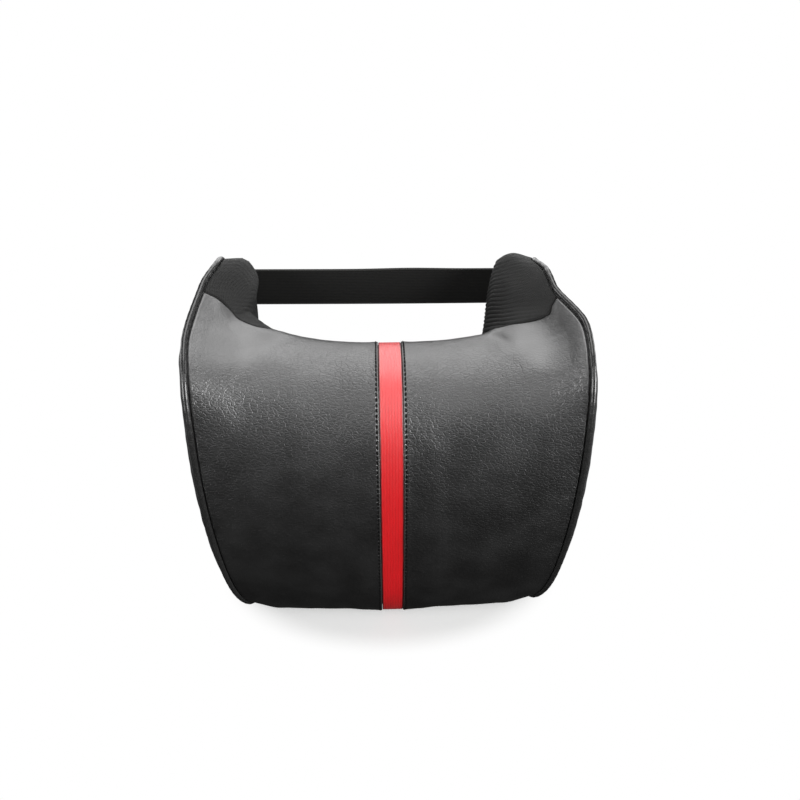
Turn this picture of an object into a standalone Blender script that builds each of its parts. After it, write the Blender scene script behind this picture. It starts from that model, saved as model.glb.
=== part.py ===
"""Car neck pillow: a memory foam core in a sewn cover, with an elastic strap.

The cover has two leather front panels with a red stripe between them, a panel on
each side edged with piping, and one air-mesh panel over the back and the wings.
+X is right, +Y is away from the viewer, +Z is up, and the origin is at the middle
of the footprint, on the surface that the pillow stands on. Lengths are in metres.
"""

import math

import bmesh
import bpy
import numpy as np
from mathutils import Matrix, Vector

COLLECTION = "car_neck_pillow"

# Overall sizes of the cover
MID_DEPTH = 0.105          # front to back at the middle
MID_HEIGHT = 0.224         # height at the middle
WING_DEPTH = 0.156         # front to back at the side seams
WING_HEIGHT = 0.264        # height of the wings above the floor
WING_LIFT = 0.003          # the side seams' lowest point above the floor
FULL_HALF_WIDTH = 0.1305   # middle to side seam, at the fullest part of the front
FOOT_HALF_WIDTH = 0.1120   # middle to side seam, at the floor
TIP_HALF_WIDTH = 0.1250    # middle to side seam, at the back of the wings

# How the sections change from the middle to the side seams, in shares of the half width
WING_START = 0.66          # where the back face starts to turn into a wing
WING_FULL = 0.83           # where the wing has its full depth
FLAT_FOOT = 0.78           # how far out the underside lies flat
TOP_SWEEP = 2.6            # how late the front and the top sweep up to the wings

# Cover pieces
SKIN = 0.0016              # leather or mesh with its thin foam backing
SKIN_GAP = 0.0003          # between touching pieces
CORE_GAP = 0.0012          # between the core and the cover
SEAM_GAP = 0.0008          # between two panels at a seam
STRIPE_WIDTH = 0.0160
PIPING_RADIUS = 0.0020
PANEL_EDGE_INSET = 0.0030  # front and back panels' edges inside the side seam
SIDE_BULGE = 0.0080        # how far the side panels swell past their seams
SIDE_FULLNESS = 12         # how near its seam a side panel reaches that swell

# Elastic strap
STRAP_WIDTH = 0.030
STRAP_THICKNESS = 0.0015
STRAP_DROP = 0.020         # strap's upper edge below the top of the wings
STRAP_END_INSET = 0.0045   # strap's end inside the side seam
STRAP_ROUNDING = 0.0004

# Mesh fineness
STEPS_PER_POINT = 3
STATIONS = (0.24, 0.44, 0.58, 0.66, 0.70, 0.74, 0.78, 0.82, 0.88, 0.94)
SIDE_RINGS = (1.0, 0.96, 0.90, 0.78, 0.45)
PIPING_SIDES = 2           # bevel resolution of the piping's round section
SHARP_ANGLE = math.radians(50)

# Half sections of the cover in shares of their own depth and height, as the corner
# points of a smooth closed curve. They run from the rear of the floor forward, up
# the front, back over the top and down the back.
MID_SECTION = (
    (0.80, 0.00), (0.60, 0.00), (0.40, 0.00), (0.24, 0.00),
    (0.06, 0.13), (0.00, 0.36), (-0.02, 0.62), (0.06, 0.84),
    (0.28, 0.98), (0.58, 1.01), (0.84, 0.98), (0.98, 0.84),
    (1.00, 0.64), (1.01, 0.40), (1.00, 0.14), (0.93, 0.00),
)
WING_SECTION = (
    (0.70, 0.00), (0.52, 0.00), (0.34, 0.00), (0.20, 0.02),
    (0.07, 0.14), (0.01, 0.36), (0.00, 0.60), (0.04, 0.84),
    (0.15, 0.91), (0.33, 0.96), (0.57, 0.99), (0.92, 1.04),
    (1.03, 0.92), (1.01, 0.58), (1.00, 0.18), (0.90, 0.00),
)
# Which of those points belong to the floor, the wings' tips and the back
FLOOR_POINTS = (0, 1, 2, 3, 15)
TIP_POINTS = (11, 12, 13, 14)
BACK_POINTS = (11, 12, 13, 14, 15)
# How far the pillow has widened, from the foot to the full width, at the points that
# lie between them on the front, and from the full width to the tips on the top
FRONT_WIDENING = {4: 0.50, 5: 0.82}
TOP_NARROWING = {10: 0.50}
FLOOR_SEAM = -2.0          # place of the seam low on the back
TOP_SEAM = 10.0            # place of the seam behind the top edge
WHOLE_SECTION = len(MID_SECTION)


def spline_weights(place):
    """Weights of four neighbouring corner points in a closed smooth curve."""
    part = place - math.floor(place)
    return (
        (1 - part) ** 3 / 6,
        (3 * part ** 3 - 6 * part ** 2 + 4) / 6,
        (-3 * part ** 3 + 3 * part ** 2 + 3 * part + 1) / 6,
        part ** 3 / 6,
    )


def on_curve(points, place):
    """The point of a closed smooth curve at a place counted in corner points."""
    first = math.floor(place) - 1
    weights = spline_weights(place)
    return sum(w * points[(first + k) % len(points)] for k, w in enumerate(weights))


def fitted(section, depth, low, high):
    """A section's corner points, scaled so that its curve just fills its sizes."""
    points = np.array(section, dtype=float)
    places = np.linspace(0, len(points), 16 * len(points), endpoint=False)
    curve = np.array([on_curve(points, place) for place in places])
    smallest, largest = curve.min(axis=0), curve.max(axis=0)
    points = (points - smallest) / (largest - smallest)
    return points * np.array((depth, high - low)) + np.array((0.0, low))


def between(low, high, share):
    """The value that lies the given share of the way from low to high."""
    return low + (high - low) * share


def half_widths():
    """The distance from the middle to the side seam at each corner point."""
    widths = np.full(WHOLE_SECTION, FULL_HALF_WIDTH)
    widths[list(TIP_POINTS)] = TIP_HALF_WIDTH
    widths[list(FLOOR_POINTS)] = FOOT_HALF_WIDTH
    for point, share in FRONT_WIDENING.items():
        widths[point] = between(FOOT_HALF_WIDTH, FULL_HALF_WIDTH, share)
    for point, share in TOP_NARROWING.items():
        widths[point] = between(FULL_HALF_WIDTH, TIP_HALF_WIDTH, share)
    return widths


MID_POINTS = fitted(MID_SECTION, MID_DEPTH, 0.0, MID_HEIGHT)
WING_POINTS = fitted(WING_SECTION, WING_DEPTH, WING_LIFT, WING_HEIGHT)
HALF_WIDTHS = half_widths()
STRAP_FRONT = WING_DEPTH + SKIN_GAP
STRAP_BACK = STRAP_FRONT + STRAP_THICKNESS
BACK_REACH = max(STRAP_BACK, WING_DEPTH + PIPING_RADIUS)
MIDDLE_Y = (BACK_REACH - PIPING_RADIUS) / 2  # the sections' front is 0, the origin is midway


def smooth_step(value, start, end):
    """0 before start, 1 after end, and a smooth rise between them."""
    share = min(max((value - start) / (end - start), 0.0), 1.0)
    return share * share * (3 - 2 * share)


def half_width(place):
    """The distance from the middle to the side seam at a place along the section."""
    return on_curve(HALF_WIDTHS, place)


def cover_point(across, place):
    """A point of the cover's outer face.

    across runs from -1 at the left side seam to 1 at the right one, and place runs
    along the section.
    """
    out = abs(across)
    share = np.full((WHOLE_SECTION, 2), out ** TOP_SWEEP)
    share[list(BACK_POINTS)] = smooth_step(out, WING_START, WING_FULL)
    share[list(FLOOR_POINTS), 1] = smooth_step(out, FLAT_FOOT, 1.0)
    y, z = on_curve(between(MID_POINTS, WING_POINTS, share), place)
    return np.array((across * half_width(place), y - MIDDLE_Y, z))


def inside_cover(across, place, depth):
    """A point at a depth under the cover's outer face."""
    step = 0.02
    low, high = max(across - step, -1.0), min(across + step, 1.0)
    along_x = cover_point(high, place) - cover_point(low, place)
    along_section = cover_point(across, place + step) - cover_point(across, place - step)
    outward = np.cross(along_x, along_section)
    return cover_point(across, place) - outward * (depth / np.linalg.norm(outward))


def section_places(start, end):
    """Evenly spaced places along the section from start to end."""
    return np.linspace(start, end, round((end - start) * STEPS_PER_POINT) + 1)


def panel_places(start, end):
    """The places of a panel's rows, with its two ends drawn back by half a seam."""
    places = section_places(start, end)
    for row, onward in ((0, 1), (-1, -1)):
        edge = cover_point(0.0, places[row])
        beyond = cover_point(0.0, places[row + onward])
        spacing = np.linalg.norm(beyond - edge)
        places[row] += (places[row + onward] - places[row]) * 0.5 * SEAM_GAP / spacing
    return places


def outward_mesh(name, points, faces):
    """A mesh whose faces point away from the inside of the pillow."""
    mesh = bpy.data.meshes.new(name)
    mesh.from_pydata([tuple(point) for point in points], [], faces)
    inside = Vector((0.0, MID_DEPTH / 2 - MIDDLE_Y, MID_HEIGHT / 2))
    facing = sum(face.area * face.normal.dot(face.center - inside) for face in mesh.polygons)
    if facing < 0:
        mesh.flip_normals()
    return mesh


def sheet_mesh(name, rows):
    """An open sheet of triangles through rows of points."""
    length = len(rows[0])
    faces = []
    for i in range(len(rows) - 1):
        for j in range(length - 1):
            low, high = i * length + j, (i + 1) * length + j
            faces += [(low, low + 1, high + 1), (low, high + 1, high)]
    return outward_mesh(name, [point for row in rows for point in row], faces)


def ring_mesh(name, rings, first_hub=None, last_hub=None):
    """Triangles through closed rings, with a fan to a hub at either end."""
    count = len(rings[0])
    points = [point for ring in rings for point in ring]
    around = [(j, (j + 1) % count) for j in range(count)]
    faces = []
    for i in range(len(rings) - 1):
        for j, k in around:
            low, low_next = i * count + j, i * count + k
            faces += [(low, low_next, low_next + count), (low, low_next + count, low + count)]
    if first_hub is not None:
        faces += [(k, j, len(points)) for j, k in around]
        points.append(first_hub)
    if last_hub is not None:
        start = (len(rings) - 1) * count
        faces += [(start + j, start + k, len(points)) for j, k in around]
        points.append(last_hub)
    return outward_mesh(name, points, faces)


def material(name, color, roughness):
    """A plain Principled material."""
    made = bpy.data.materials.new(name)
    made.use_nodes = True
    shader = made.node_tree.nodes["Principled BSDF"]
    shader.inputs["Base Color"].default_value = (*color, 1.0)
    shader.inputs["Roughness"].default_value = roughness
    made.diffuse_color = (*color, 1.0)
    return made


def add_piece(name, data, finish, collection):
    """Put a mesh or a curve into the collection as a named object."""
    piece = bpy.data.objects.new(name, data)
    data.materials.append(finish)
    collection.objects.link(piece)
    if piece.type == "MESH":
        data.shade_smooth()
        data.set_sharp_from_angle(angle=SHARP_ANGLE)
    return piece


def thicken(piece):
    """Give an open sheet the thickness of the cover, inward from its outer face."""
    solid = piece.modifiers.new("thickness", "SOLIDIFY")
    solid.thickness = SKIN
    solid.offset = -1.0
    solid.use_even_offset = True


def side_name(name, side):
    """The name of a left or a right piece."""
    return name + ("_right" if side > 0 else "_left")


def add_front_panel(side, finish, collection):
    """One leather panel, from the stripe to the piping and from floor to top seam."""
    name = side_name("front_panel", side)
    rows = []
    for place in panel_places(FLOOR_SEAM, TOP_SEAM):
        width = half_width(place)
        inner, outer = (STRIPE_WIDTH / 2 + SEAM_GAP) / width, 1 - PANEL_EDGE_INSET / width
        row = sorted(side * out for out in (inner, *STATIONS, outer))
        rows.append([cover_point(across, place) for across in row])
    thicken(add_piece(name, sheet_mesh(name, rows), finish, collection))


def add_stripe(finish, collection):
    """The stripe between the two front panels."""
    rows = []
    for place in panel_places(FLOOR_SEAM, TOP_SEAM):
        edge = STRIPE_WIDTH / 2 / half_width(place)
        rows.append([cover_point(across, place) for across in (-edge, 0.0, edge)])
    name = "centre_stripe"
    thicken(add_piece(name, sheet_mesh(name, rows), finish, collection))


def add_back_panel(finish, collection):
    """The air-mesh panel over the wings' tops and the back."""
    rows = []
    for place in panel_places(TOP_SEAM, WHOLE_SECTION + FLOOR_SEAM):
        outs = (*STATIONS, 1 - PANEL_EDGE_INSET / half_width(place))
        row = (*(-out for out in reversed(outs)), 0.0, *outs)
        rows.append([cover_point(across, place) for across in row])
    name = "back_panel"
    thicken(add_piece(name, sheet_mesh(name, rows), finish, collection))


def loop_places():
    """The places all round the section, once."""
    return section_places(0, WHOLE_SECTION)[:-1]


def side_seam(side):
    """The seam line round one side, where the piping lies."""
    return np.array([cover_point(side, place) for place in loop_places()])


def drawn_in(seam, distance):
    """A seam line moved towards the middle of its side, square to its own run."""
    along = np.roll(seam, -1, axis=0) - np.roll(seam, 1, axis=0)
    square = np.stack((np.zeros(len(seam)), -along[:, 2], along[:, 1]), axis=1)
    square /= np.linalg.norm(square, axis=1)[:, None]
    middle = seam.mean(axis=0) - seam
    square *= np.sign((square * middle).sum(axis=1))[:, None]
    return seam + square * distance


def side_rings(side, edge, depth):
    """Rings from an edge line to the middle of a side, and the middle point.

    The rings follow the side panel's outer face at the given depth under it.
    """
    seam = side_seam(side)
    centre = seam.mean(axis=0)
    reach = np.linalg.norm((seam - centre)[:, 1:], axis=1)
    rings = []
    for ring in (*SIDE_RINGS, 0.0):
        points = between(centre, edge, ring)
        share = (np.linalg.norm((points - centre)[:, 1:], axis=1) + depth) / reach
        share = np.minimum(share, 1.0)
        flat = between(FULL_HALF_WIDTH, np.abs(seam[:, 0]), share ** 2)
        swell = SIDE_BULGE * (1 - share ** SIDE_FULLNESS)
        points[:, 0] = side * (flat + swell - depth)
        rings.append(points)
    return rings[:-1], rings[-1].mean(axis=0)


def add_side_panel(side, finish, collection):
    """The swollen leather panel that closes one side."""
    name = side_name("side_panel", side)
    edge = drawn_in(side_seam(side), PIPING_RADIUS + SKIN_GAP)
    rings, hub = side_rings(side, edge, 0.0)
    thicken(add_piece(name, ring_mesh(name, rings, last_hub=hub), finish, collection))


def add_piping(side, finish, collection):
    """The round piping in the seam of one side."""
    name = side_name("piping", side)
    curve = bpy.data.curves.new(name, "CURVE")
    curve.dimensions = "3D"
    curve.bevel_depth = PIPING_RADIUS
    curve.bevel_resolution = PIPING_SIDES
    run = curve.splines.new("POLY")
    seam = side_seam(side)
    run.points.add(len(seam) - 1)
    for knot, point in zip(run.points, seam):
        knot.co = (*point, 1.0)
    run.use_cyclic_u = True
    add_piece(name, curve, finish, collection)


def add_core(finish, collection):
    """The memory foam core, which fills the cover."""
    depth = SKIN + CORE_GAP
    sides = {}
    for side in (-1, 1):
        edge = []
        for place in loop_places():
            out = 1 - 2 * depth / half_width(place)
            edge.append(inside_cover(side * out, place, depth))
        sides[side] = side_rings(side, np.array(edge), depth)
    stations = (*(-out for out in reversed(STATIONS)), 0.0, *STATIONS)
    middle = [[inside_cover(across, place, depth) for place in loop_places()]
              for across in stations]
    rings = [*reversed(sides[-1][0]), *middle, *sides[1][0]]
    mesh = ring_mesh("foam_core", rings, first_hub=sides[-1][1], last_hub=sides[1][1])
    add_piece("foam_core", mesh, finish, collection)


def add_strap(finish, collection):
    """The elastic strap across the backs of the wings."""
    size = (2 * (TIP_HALF_WIDTH - STRAP_END_INSET), STRAP_THICKNESS, STRAP_WIDTH)
    mesh = bpy.data.meshes.new("elastic_strap")
    work = bmesh.new()
    bmesh.ops.create_cube(work, size=1.0, matrix=Matrix.Diagonal((*size, 1.0)))
    work.to_mesh(mesh)
    work.free()
    strap = add_piece("elastic_strap", mesh, finish, collection)
    strap.location = (0.0, (STRAP_FRONT + STRAP_BACK) / 2 - MIDDLE_Y,
                      WING_HEIGHT - STRAP_DROP - STRAP_WIDTH / 2)
    edges = strap.modifiers.new("edges", "BEVEL")
    edges.width = STRAP_ROUNDING


def build():
    """Build the pillow in its own collection."""
    for old in list(bpy.data.objects):
        bpy.data.objects.remove(old, do_unlink=True)
    collection = bpy.data.collections.new(COLLECTION)
    bpy.context.scene.collection.children.link(collection)
    leather = material("black_leather", (0.020, 0.020, 0.021), 0.45)
    gloss = material("piping_gloss", (0.012, 0.012, 0.012), 0.15)
    red = material("red_stripe", (0.600, 0.030, 0.035), 0.65)
    air_mesh = material("black_air_mesh", (0.012, 0.012, 0.012), 0.90)
    elastic = material("black_elastic", (0.015, 0.015, 0.014), 0.80)
    foam = material("memory_foam", (0.800, 0.740, 0.560), 0.95)
    add_core(foam, collection)
    add_stripe(red, collection)
    add_back_panel(air_mesh, collection)
    for side in (-1, 1):
        add_front_panel(side, leather, collection)
        add_side_panel(side, leather, collection)
        add_piping(side, gloss, collection)
    add_strap(elastic, collection)


build()
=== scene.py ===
"""Dresses the car neck pillow: sewn leather, a red stripe, air mesh, piping and elastic.

Lengths are in metres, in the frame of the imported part: +X is right, +Y is away from
the viewer, +Z is up. The cover is drawn like the part's, as smooth closed sections that
change from the middle to the side seams. The wings' own inner walls, the lean of the
right one and the swell of the left one are added here. Each piece is a fine mesh on that
shape.
"""

import logging
import math
from collections.abc import Callable, Sequence
from dataclasses import dataclass, field
from enum import Enum
from functools import cached_property
from typing import Any

import bmesh
import bpy
import numpy as np
from mathutils import Matrix, Vector


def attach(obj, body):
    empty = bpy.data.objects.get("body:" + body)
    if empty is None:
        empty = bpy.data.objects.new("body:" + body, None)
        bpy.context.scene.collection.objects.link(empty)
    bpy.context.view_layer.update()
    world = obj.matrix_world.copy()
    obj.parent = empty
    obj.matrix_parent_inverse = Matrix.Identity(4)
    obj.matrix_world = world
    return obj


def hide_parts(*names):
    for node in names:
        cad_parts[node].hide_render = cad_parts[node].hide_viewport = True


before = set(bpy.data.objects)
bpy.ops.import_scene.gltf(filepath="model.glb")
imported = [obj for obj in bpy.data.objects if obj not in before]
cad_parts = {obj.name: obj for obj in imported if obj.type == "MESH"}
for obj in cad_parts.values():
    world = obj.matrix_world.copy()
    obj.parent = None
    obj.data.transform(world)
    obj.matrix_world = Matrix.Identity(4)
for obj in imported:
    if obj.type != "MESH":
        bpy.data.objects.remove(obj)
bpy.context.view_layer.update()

LOG = logging.getLogger("neck_pillow")
BODY = "root"
MM = 0.001

Array = np.ndarray
Span = tuple[float, float]
Triple = tuple[float, float, float]
Faces = list[tuple[int, ...]]

# Full sections of the cover in shares of their own depth and height, as corner points
# of a smooth closed curve: along the floor, up the front, over the top, down the back
MID_SECTION = (
    (0.80, 0.00), (0.60, 0.00), (0.40, 0.00), (0.24, 0.00),
    (0.06, 0.13), (0.00, 0.36), (-0.02, 0.62), (0.06, 0.84),
    (0.28, 0.98), (0.58, 1.01), (0.84, 0.98), (0.98, 0.84),
    (1.00, 0.64), (1.01, 0.40), (1.00, 0.14), (0.93, 0.00),
)
WING_SECTION = (
    (0.70, 0.00), (0.52, 0.00), (0.34, 0.00), (0.20, 0.02),
    (0.07, 0.14), (0.01, 0.36), (0.00, 0.60), (0.04, 0.84),
    (0.15, 0.91), (0.33, 0.96), (0.57, 0.99), (0.92, 1.04),
    (1.03, 0.92), (1.01, 0.58), (1.00, 0.18), (0.90, 0.00),
)
FLOOR_POINTS = (0, 1, 2, 3, 15)
TIP_POINTS = (11, 12, 13, 14)
BACK_POINTS = (11, 12, 13, 14, 15)
FRONT_WIDENING = {4: 0.50, 5: 0.82}
TOP_NARROWING = {10: 0.50}

# How far the top seam is drawn forward, at places from the left side to the right one
SEAM_LINE = (
    (-1.00, 0.03), (-0.925, 0.03), (-0.865, 0.12), (-0.84, 0.13), (-0.81, 0.22),
    (-0.77, 0.28), (-0.71, 0.32), (-0.66, 0.20), (-0.60, 0.0),
    (0.50, 0.0), (0.56, 0.12), (0.63, 0.40), (0.74, 0.50), (0.82, 0.55), (0.875, 0.57),
    (0.905, 0.53), (0.925, 0.41), (0.95, 0.35), (0.98, 0.28), (1.00, 0.27),
)


class Side(Enum):
    """The two sides of the pillow, as the viewer sees them."""

    LEFT = -1
    RIGHT = 1

    @property
    def ending(self) -> str:
        """The end of the names of this side's pieces."""
        return self.name.lower()


class Slot(Enum):
    """The record's material slots."""

    LEATHER = "black_leather"
    STRIPE = "red_stripe"
    PIPING = "gloss_piping"
    AIR_MESH = "black_air_mesh"
    ELASTIC = "black_elastic"
    FOAM = "memory_foam"


def smooth_step(value: Array, start: float, end: float) -> Array:
    """Rise smoothly from 0 at start to 1 at end.

    Args:
        value: The values to look up.
        start: Where the rise starts.
        end: Where the rise ends.

    Returns:
        A share from 0 to 1 for each value.
    """
    share = np.clip((np.asarray(value, dtype=float) - start) / (end - start), 0.0, 1.0)
    return share * share * (3 - 2 * share)


def hump(value: Array, middle: float, width: float) -> Array:
    """A smooth hump of height 1.

    Args:
        value: The values to look up.
        middle: Where the hump is highest.
        width: The distance at which it has fallen to about a third.

    Returns:
        The height of the hump at each value.
    """
    return np.exp(-(((np.asarray(value, dtype=float) - middle) / width) ** 2))


def rolled(distance: Array, radius: float) -> Array:
    """How far a rounded edge has dropped.

    Args:
        distance: Distances from the edge.
        radius: Radius of the rounding.

    Returns:
        The drop at each distance: the radius at the edge, nothing past the rounding.
    """
    inside = np.clip(radius - distance, 0.0, radius)
    return radius - np.sqrt(radius ** 2 - inside ** 2)


@dataclass(frozen=True)
class Ripple:
    """A smooth irregular wave, the same on every run.

    Attributes:
        longest: The longest wavelength.
        shortest: The shortest wavelength.
        seed: The number that the waves are drawn from.
        height: About how high the waves are.
        count: How many waves are added.
    """

    longest: float
    shortest: float
    seed: int
    height: float = 1.0
    count: int = 7

    @cached_property
    def waves(self) -> Array:
        """A wavelength, a phase, a direction and a height for each wave."""
        draw = np.random.default_rng(self.seed)
        lengths = np.geomspace(self.longest, self.shortest, self.count)
        phases = draw.uniform(0, 2 * math.pi, self.count)
        turns = draw.uniform(0, math.pi, self.count)
        heights = draw.uniform(0.5, 1.0, self.count)
        return np.stack((lengths, phases, turns, heights), axis=1)

    def along(self, run: Array) -> Array:
        """The wave's height along a line."""
        total = sum(height * np.sin(2 * math.pi * run / length + phase)
                    for length, phase, _turn, height in self.waves)
        return self.height * (total / math.sqrt(self.count))

    def over(self, first: Array, second: Array) -> Array:
        """The wave's height over a surface with two coordinates."""
        total = 0.0
        for length, phase, turn, height in self.waves:
            run = first * math.cos(turn) + second * math.sin(turn)
            total = total + height * np.sin(2 * math.pi * run / length + phase)
        return self.height * (total / math.sqrt(self.count))


@dataclass(frozen=True)
class WingWall:
    """The inner wall of a wing, in places across from the middle.

    Attributes:
        start: Where the wall starts to rise.
        width: How wide its steep part is.
        shoulder: Where its round shoulder starts.
        reach: How wide the shoulder is.
        share: The shoulder's share of the height.
    """

    start: float
    width: float
    shoulder: float
    reach: float
    share: float

    def turn(self, out: Array) -> Array:
        """How much of the wing's height is reached, from 0 to 1."""
        wall = smooth_step(out, self.start, self.start + self.width)
        bend = np.clip((out - self.shoulder) / self.reach, 0.0, 1.0)
        return (1 - self.share) * wall + self.share * np.sqrt(1 - (1 - bend) ** 2)


@dataclass(frozen=True)
class Settling:
    """How the stuffing swells the left wing, and how the right wing's tip leans in.

    Each span is where a move starts to take hold or to fade, and where it has done so,
    in metres to one side, back or up.

    Attributes:
        wing_lean: How far the right wing leans in.
        tip_lean: How much further its tip does.
        lean_lost: The share of the lean that is gone at the very back.
        wing_drop: How far the right wing's tip sinks.
        wing_swell: How far the left wing swells.
        right_swell: The right wing's share of that swell, at its front.
        front_share: The share of the swell at the front of the wing.
        lobe_swell: How far the inner side of the left lobe stands out.
        aside: The wings, to either side.
        upper: The wings' upper part.
        lean_back: Where the wing's lean grows.
        tip_back: Where the tip's lean grows.
        lean_fade: Where the lean fades.
        front_back: Where the swell grows.
        swell_fade: Where the swell fades.
        right_fade: Where the right wing's swell fades.
        lobe_aside: Where the lobe's swell grows, away from the middle.
        lobe_fade: Where it fades, further out.
        lobe_up: Where it grows upward.
        lobe_back: Where it grows backward.
        drop_back: Where the tip starts to sink.
    """

    wing_lean: float = 0.0105
    tip_lean: float = 0.0040
    lean_lost: float = 0.62
    wing_drop: float = 0.0035
    wing_swell: float = 0.0042
    right_swell: float = 0.4
    front_share: float = 0.35
    lobe_swell: float = 0.0068
    aside: Span = (0.070, 0.125)
    upper: Span = (0.190, 0.240)
    lean_back: Span = (-0.028, 0.012)
    tip_back: Span = (0.030, 0.060)
    lean_fade: Span = (0.053, 0.078)
    front_back: Span = (-0.068, -0.035)
    swell_fade: Span = (0.015, 0.050)
    right_fade: Span = (-0.035, -0.015)
    lobe_aside: Span = (0.075, 0.090)
    lobe_fade: Span = (0.104, 0.118)
    lobe_up: Span = (0.222, 0.250)
    lobe_back: Span = (0.0, 0.030)
    drop_back: Span = (0.020, 0.055)

    def lean(self, y: Array) -> Array:
        """How far the right wing leans in at distances back."""
        lean = (self.wing_lean * smooth_step(y, *self.lean_back)
                + self.tip_lean * smooth_step(y, *self.tip_back))
        return lean * (1 - self.lean_lost * smooth_step(y, *self.lean_fade))

    def swell(self, y: Array, aside: Array) -> Array:
        """How far a wing swells at distances back, and at its own share aside."""
        front = self.front_share + (1 - self.front_share) * smooth_step(y, *self.front_back)
        return self.wing_swell * aside * front * (1 - smooth_step(y, *self.swell_fade))

    def lobe(self, x: Array, y: Array, z: Array) -> Array:
        """How far the inner side of the left lobe stands out."""
        lobe = smooth_step(-x, *self.lobe_aside) * (1 - smooth_step(-x, *self.lobe_fade))
        return (self.lobe_swell * lobe * smooth_step(z, *self.lobe_up)
                * smooth_step(y, *self.lobe_back))

    def moved(self, points: Array) -> Array:
        """Points of the plain form, moved to where the stuffing holds them."""
        x, y, z = (points[..., axis] for axis in range(3))
        aside, high = smooth_step(np.abs(x), *self.aside), smooth_step(z, *self.upper)
        swell = self.swell(y, aside)
        drop = self.wing_drop * aside * high * smooth_step(y, *self.drop_back)
        right = (self.right_swell * swell * (1 - smooth_step(y, *self.right_fade))
                 - self.lean(y) * aside)
        moved = points.copy()
        moved[..., 0] = x + np.where(x > 0, right * high, self.lobe(x, y, z) - swell * high)
        moved[..., 2] = z - np.where(x > 0, drop, 0.0)
        return moved


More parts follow.
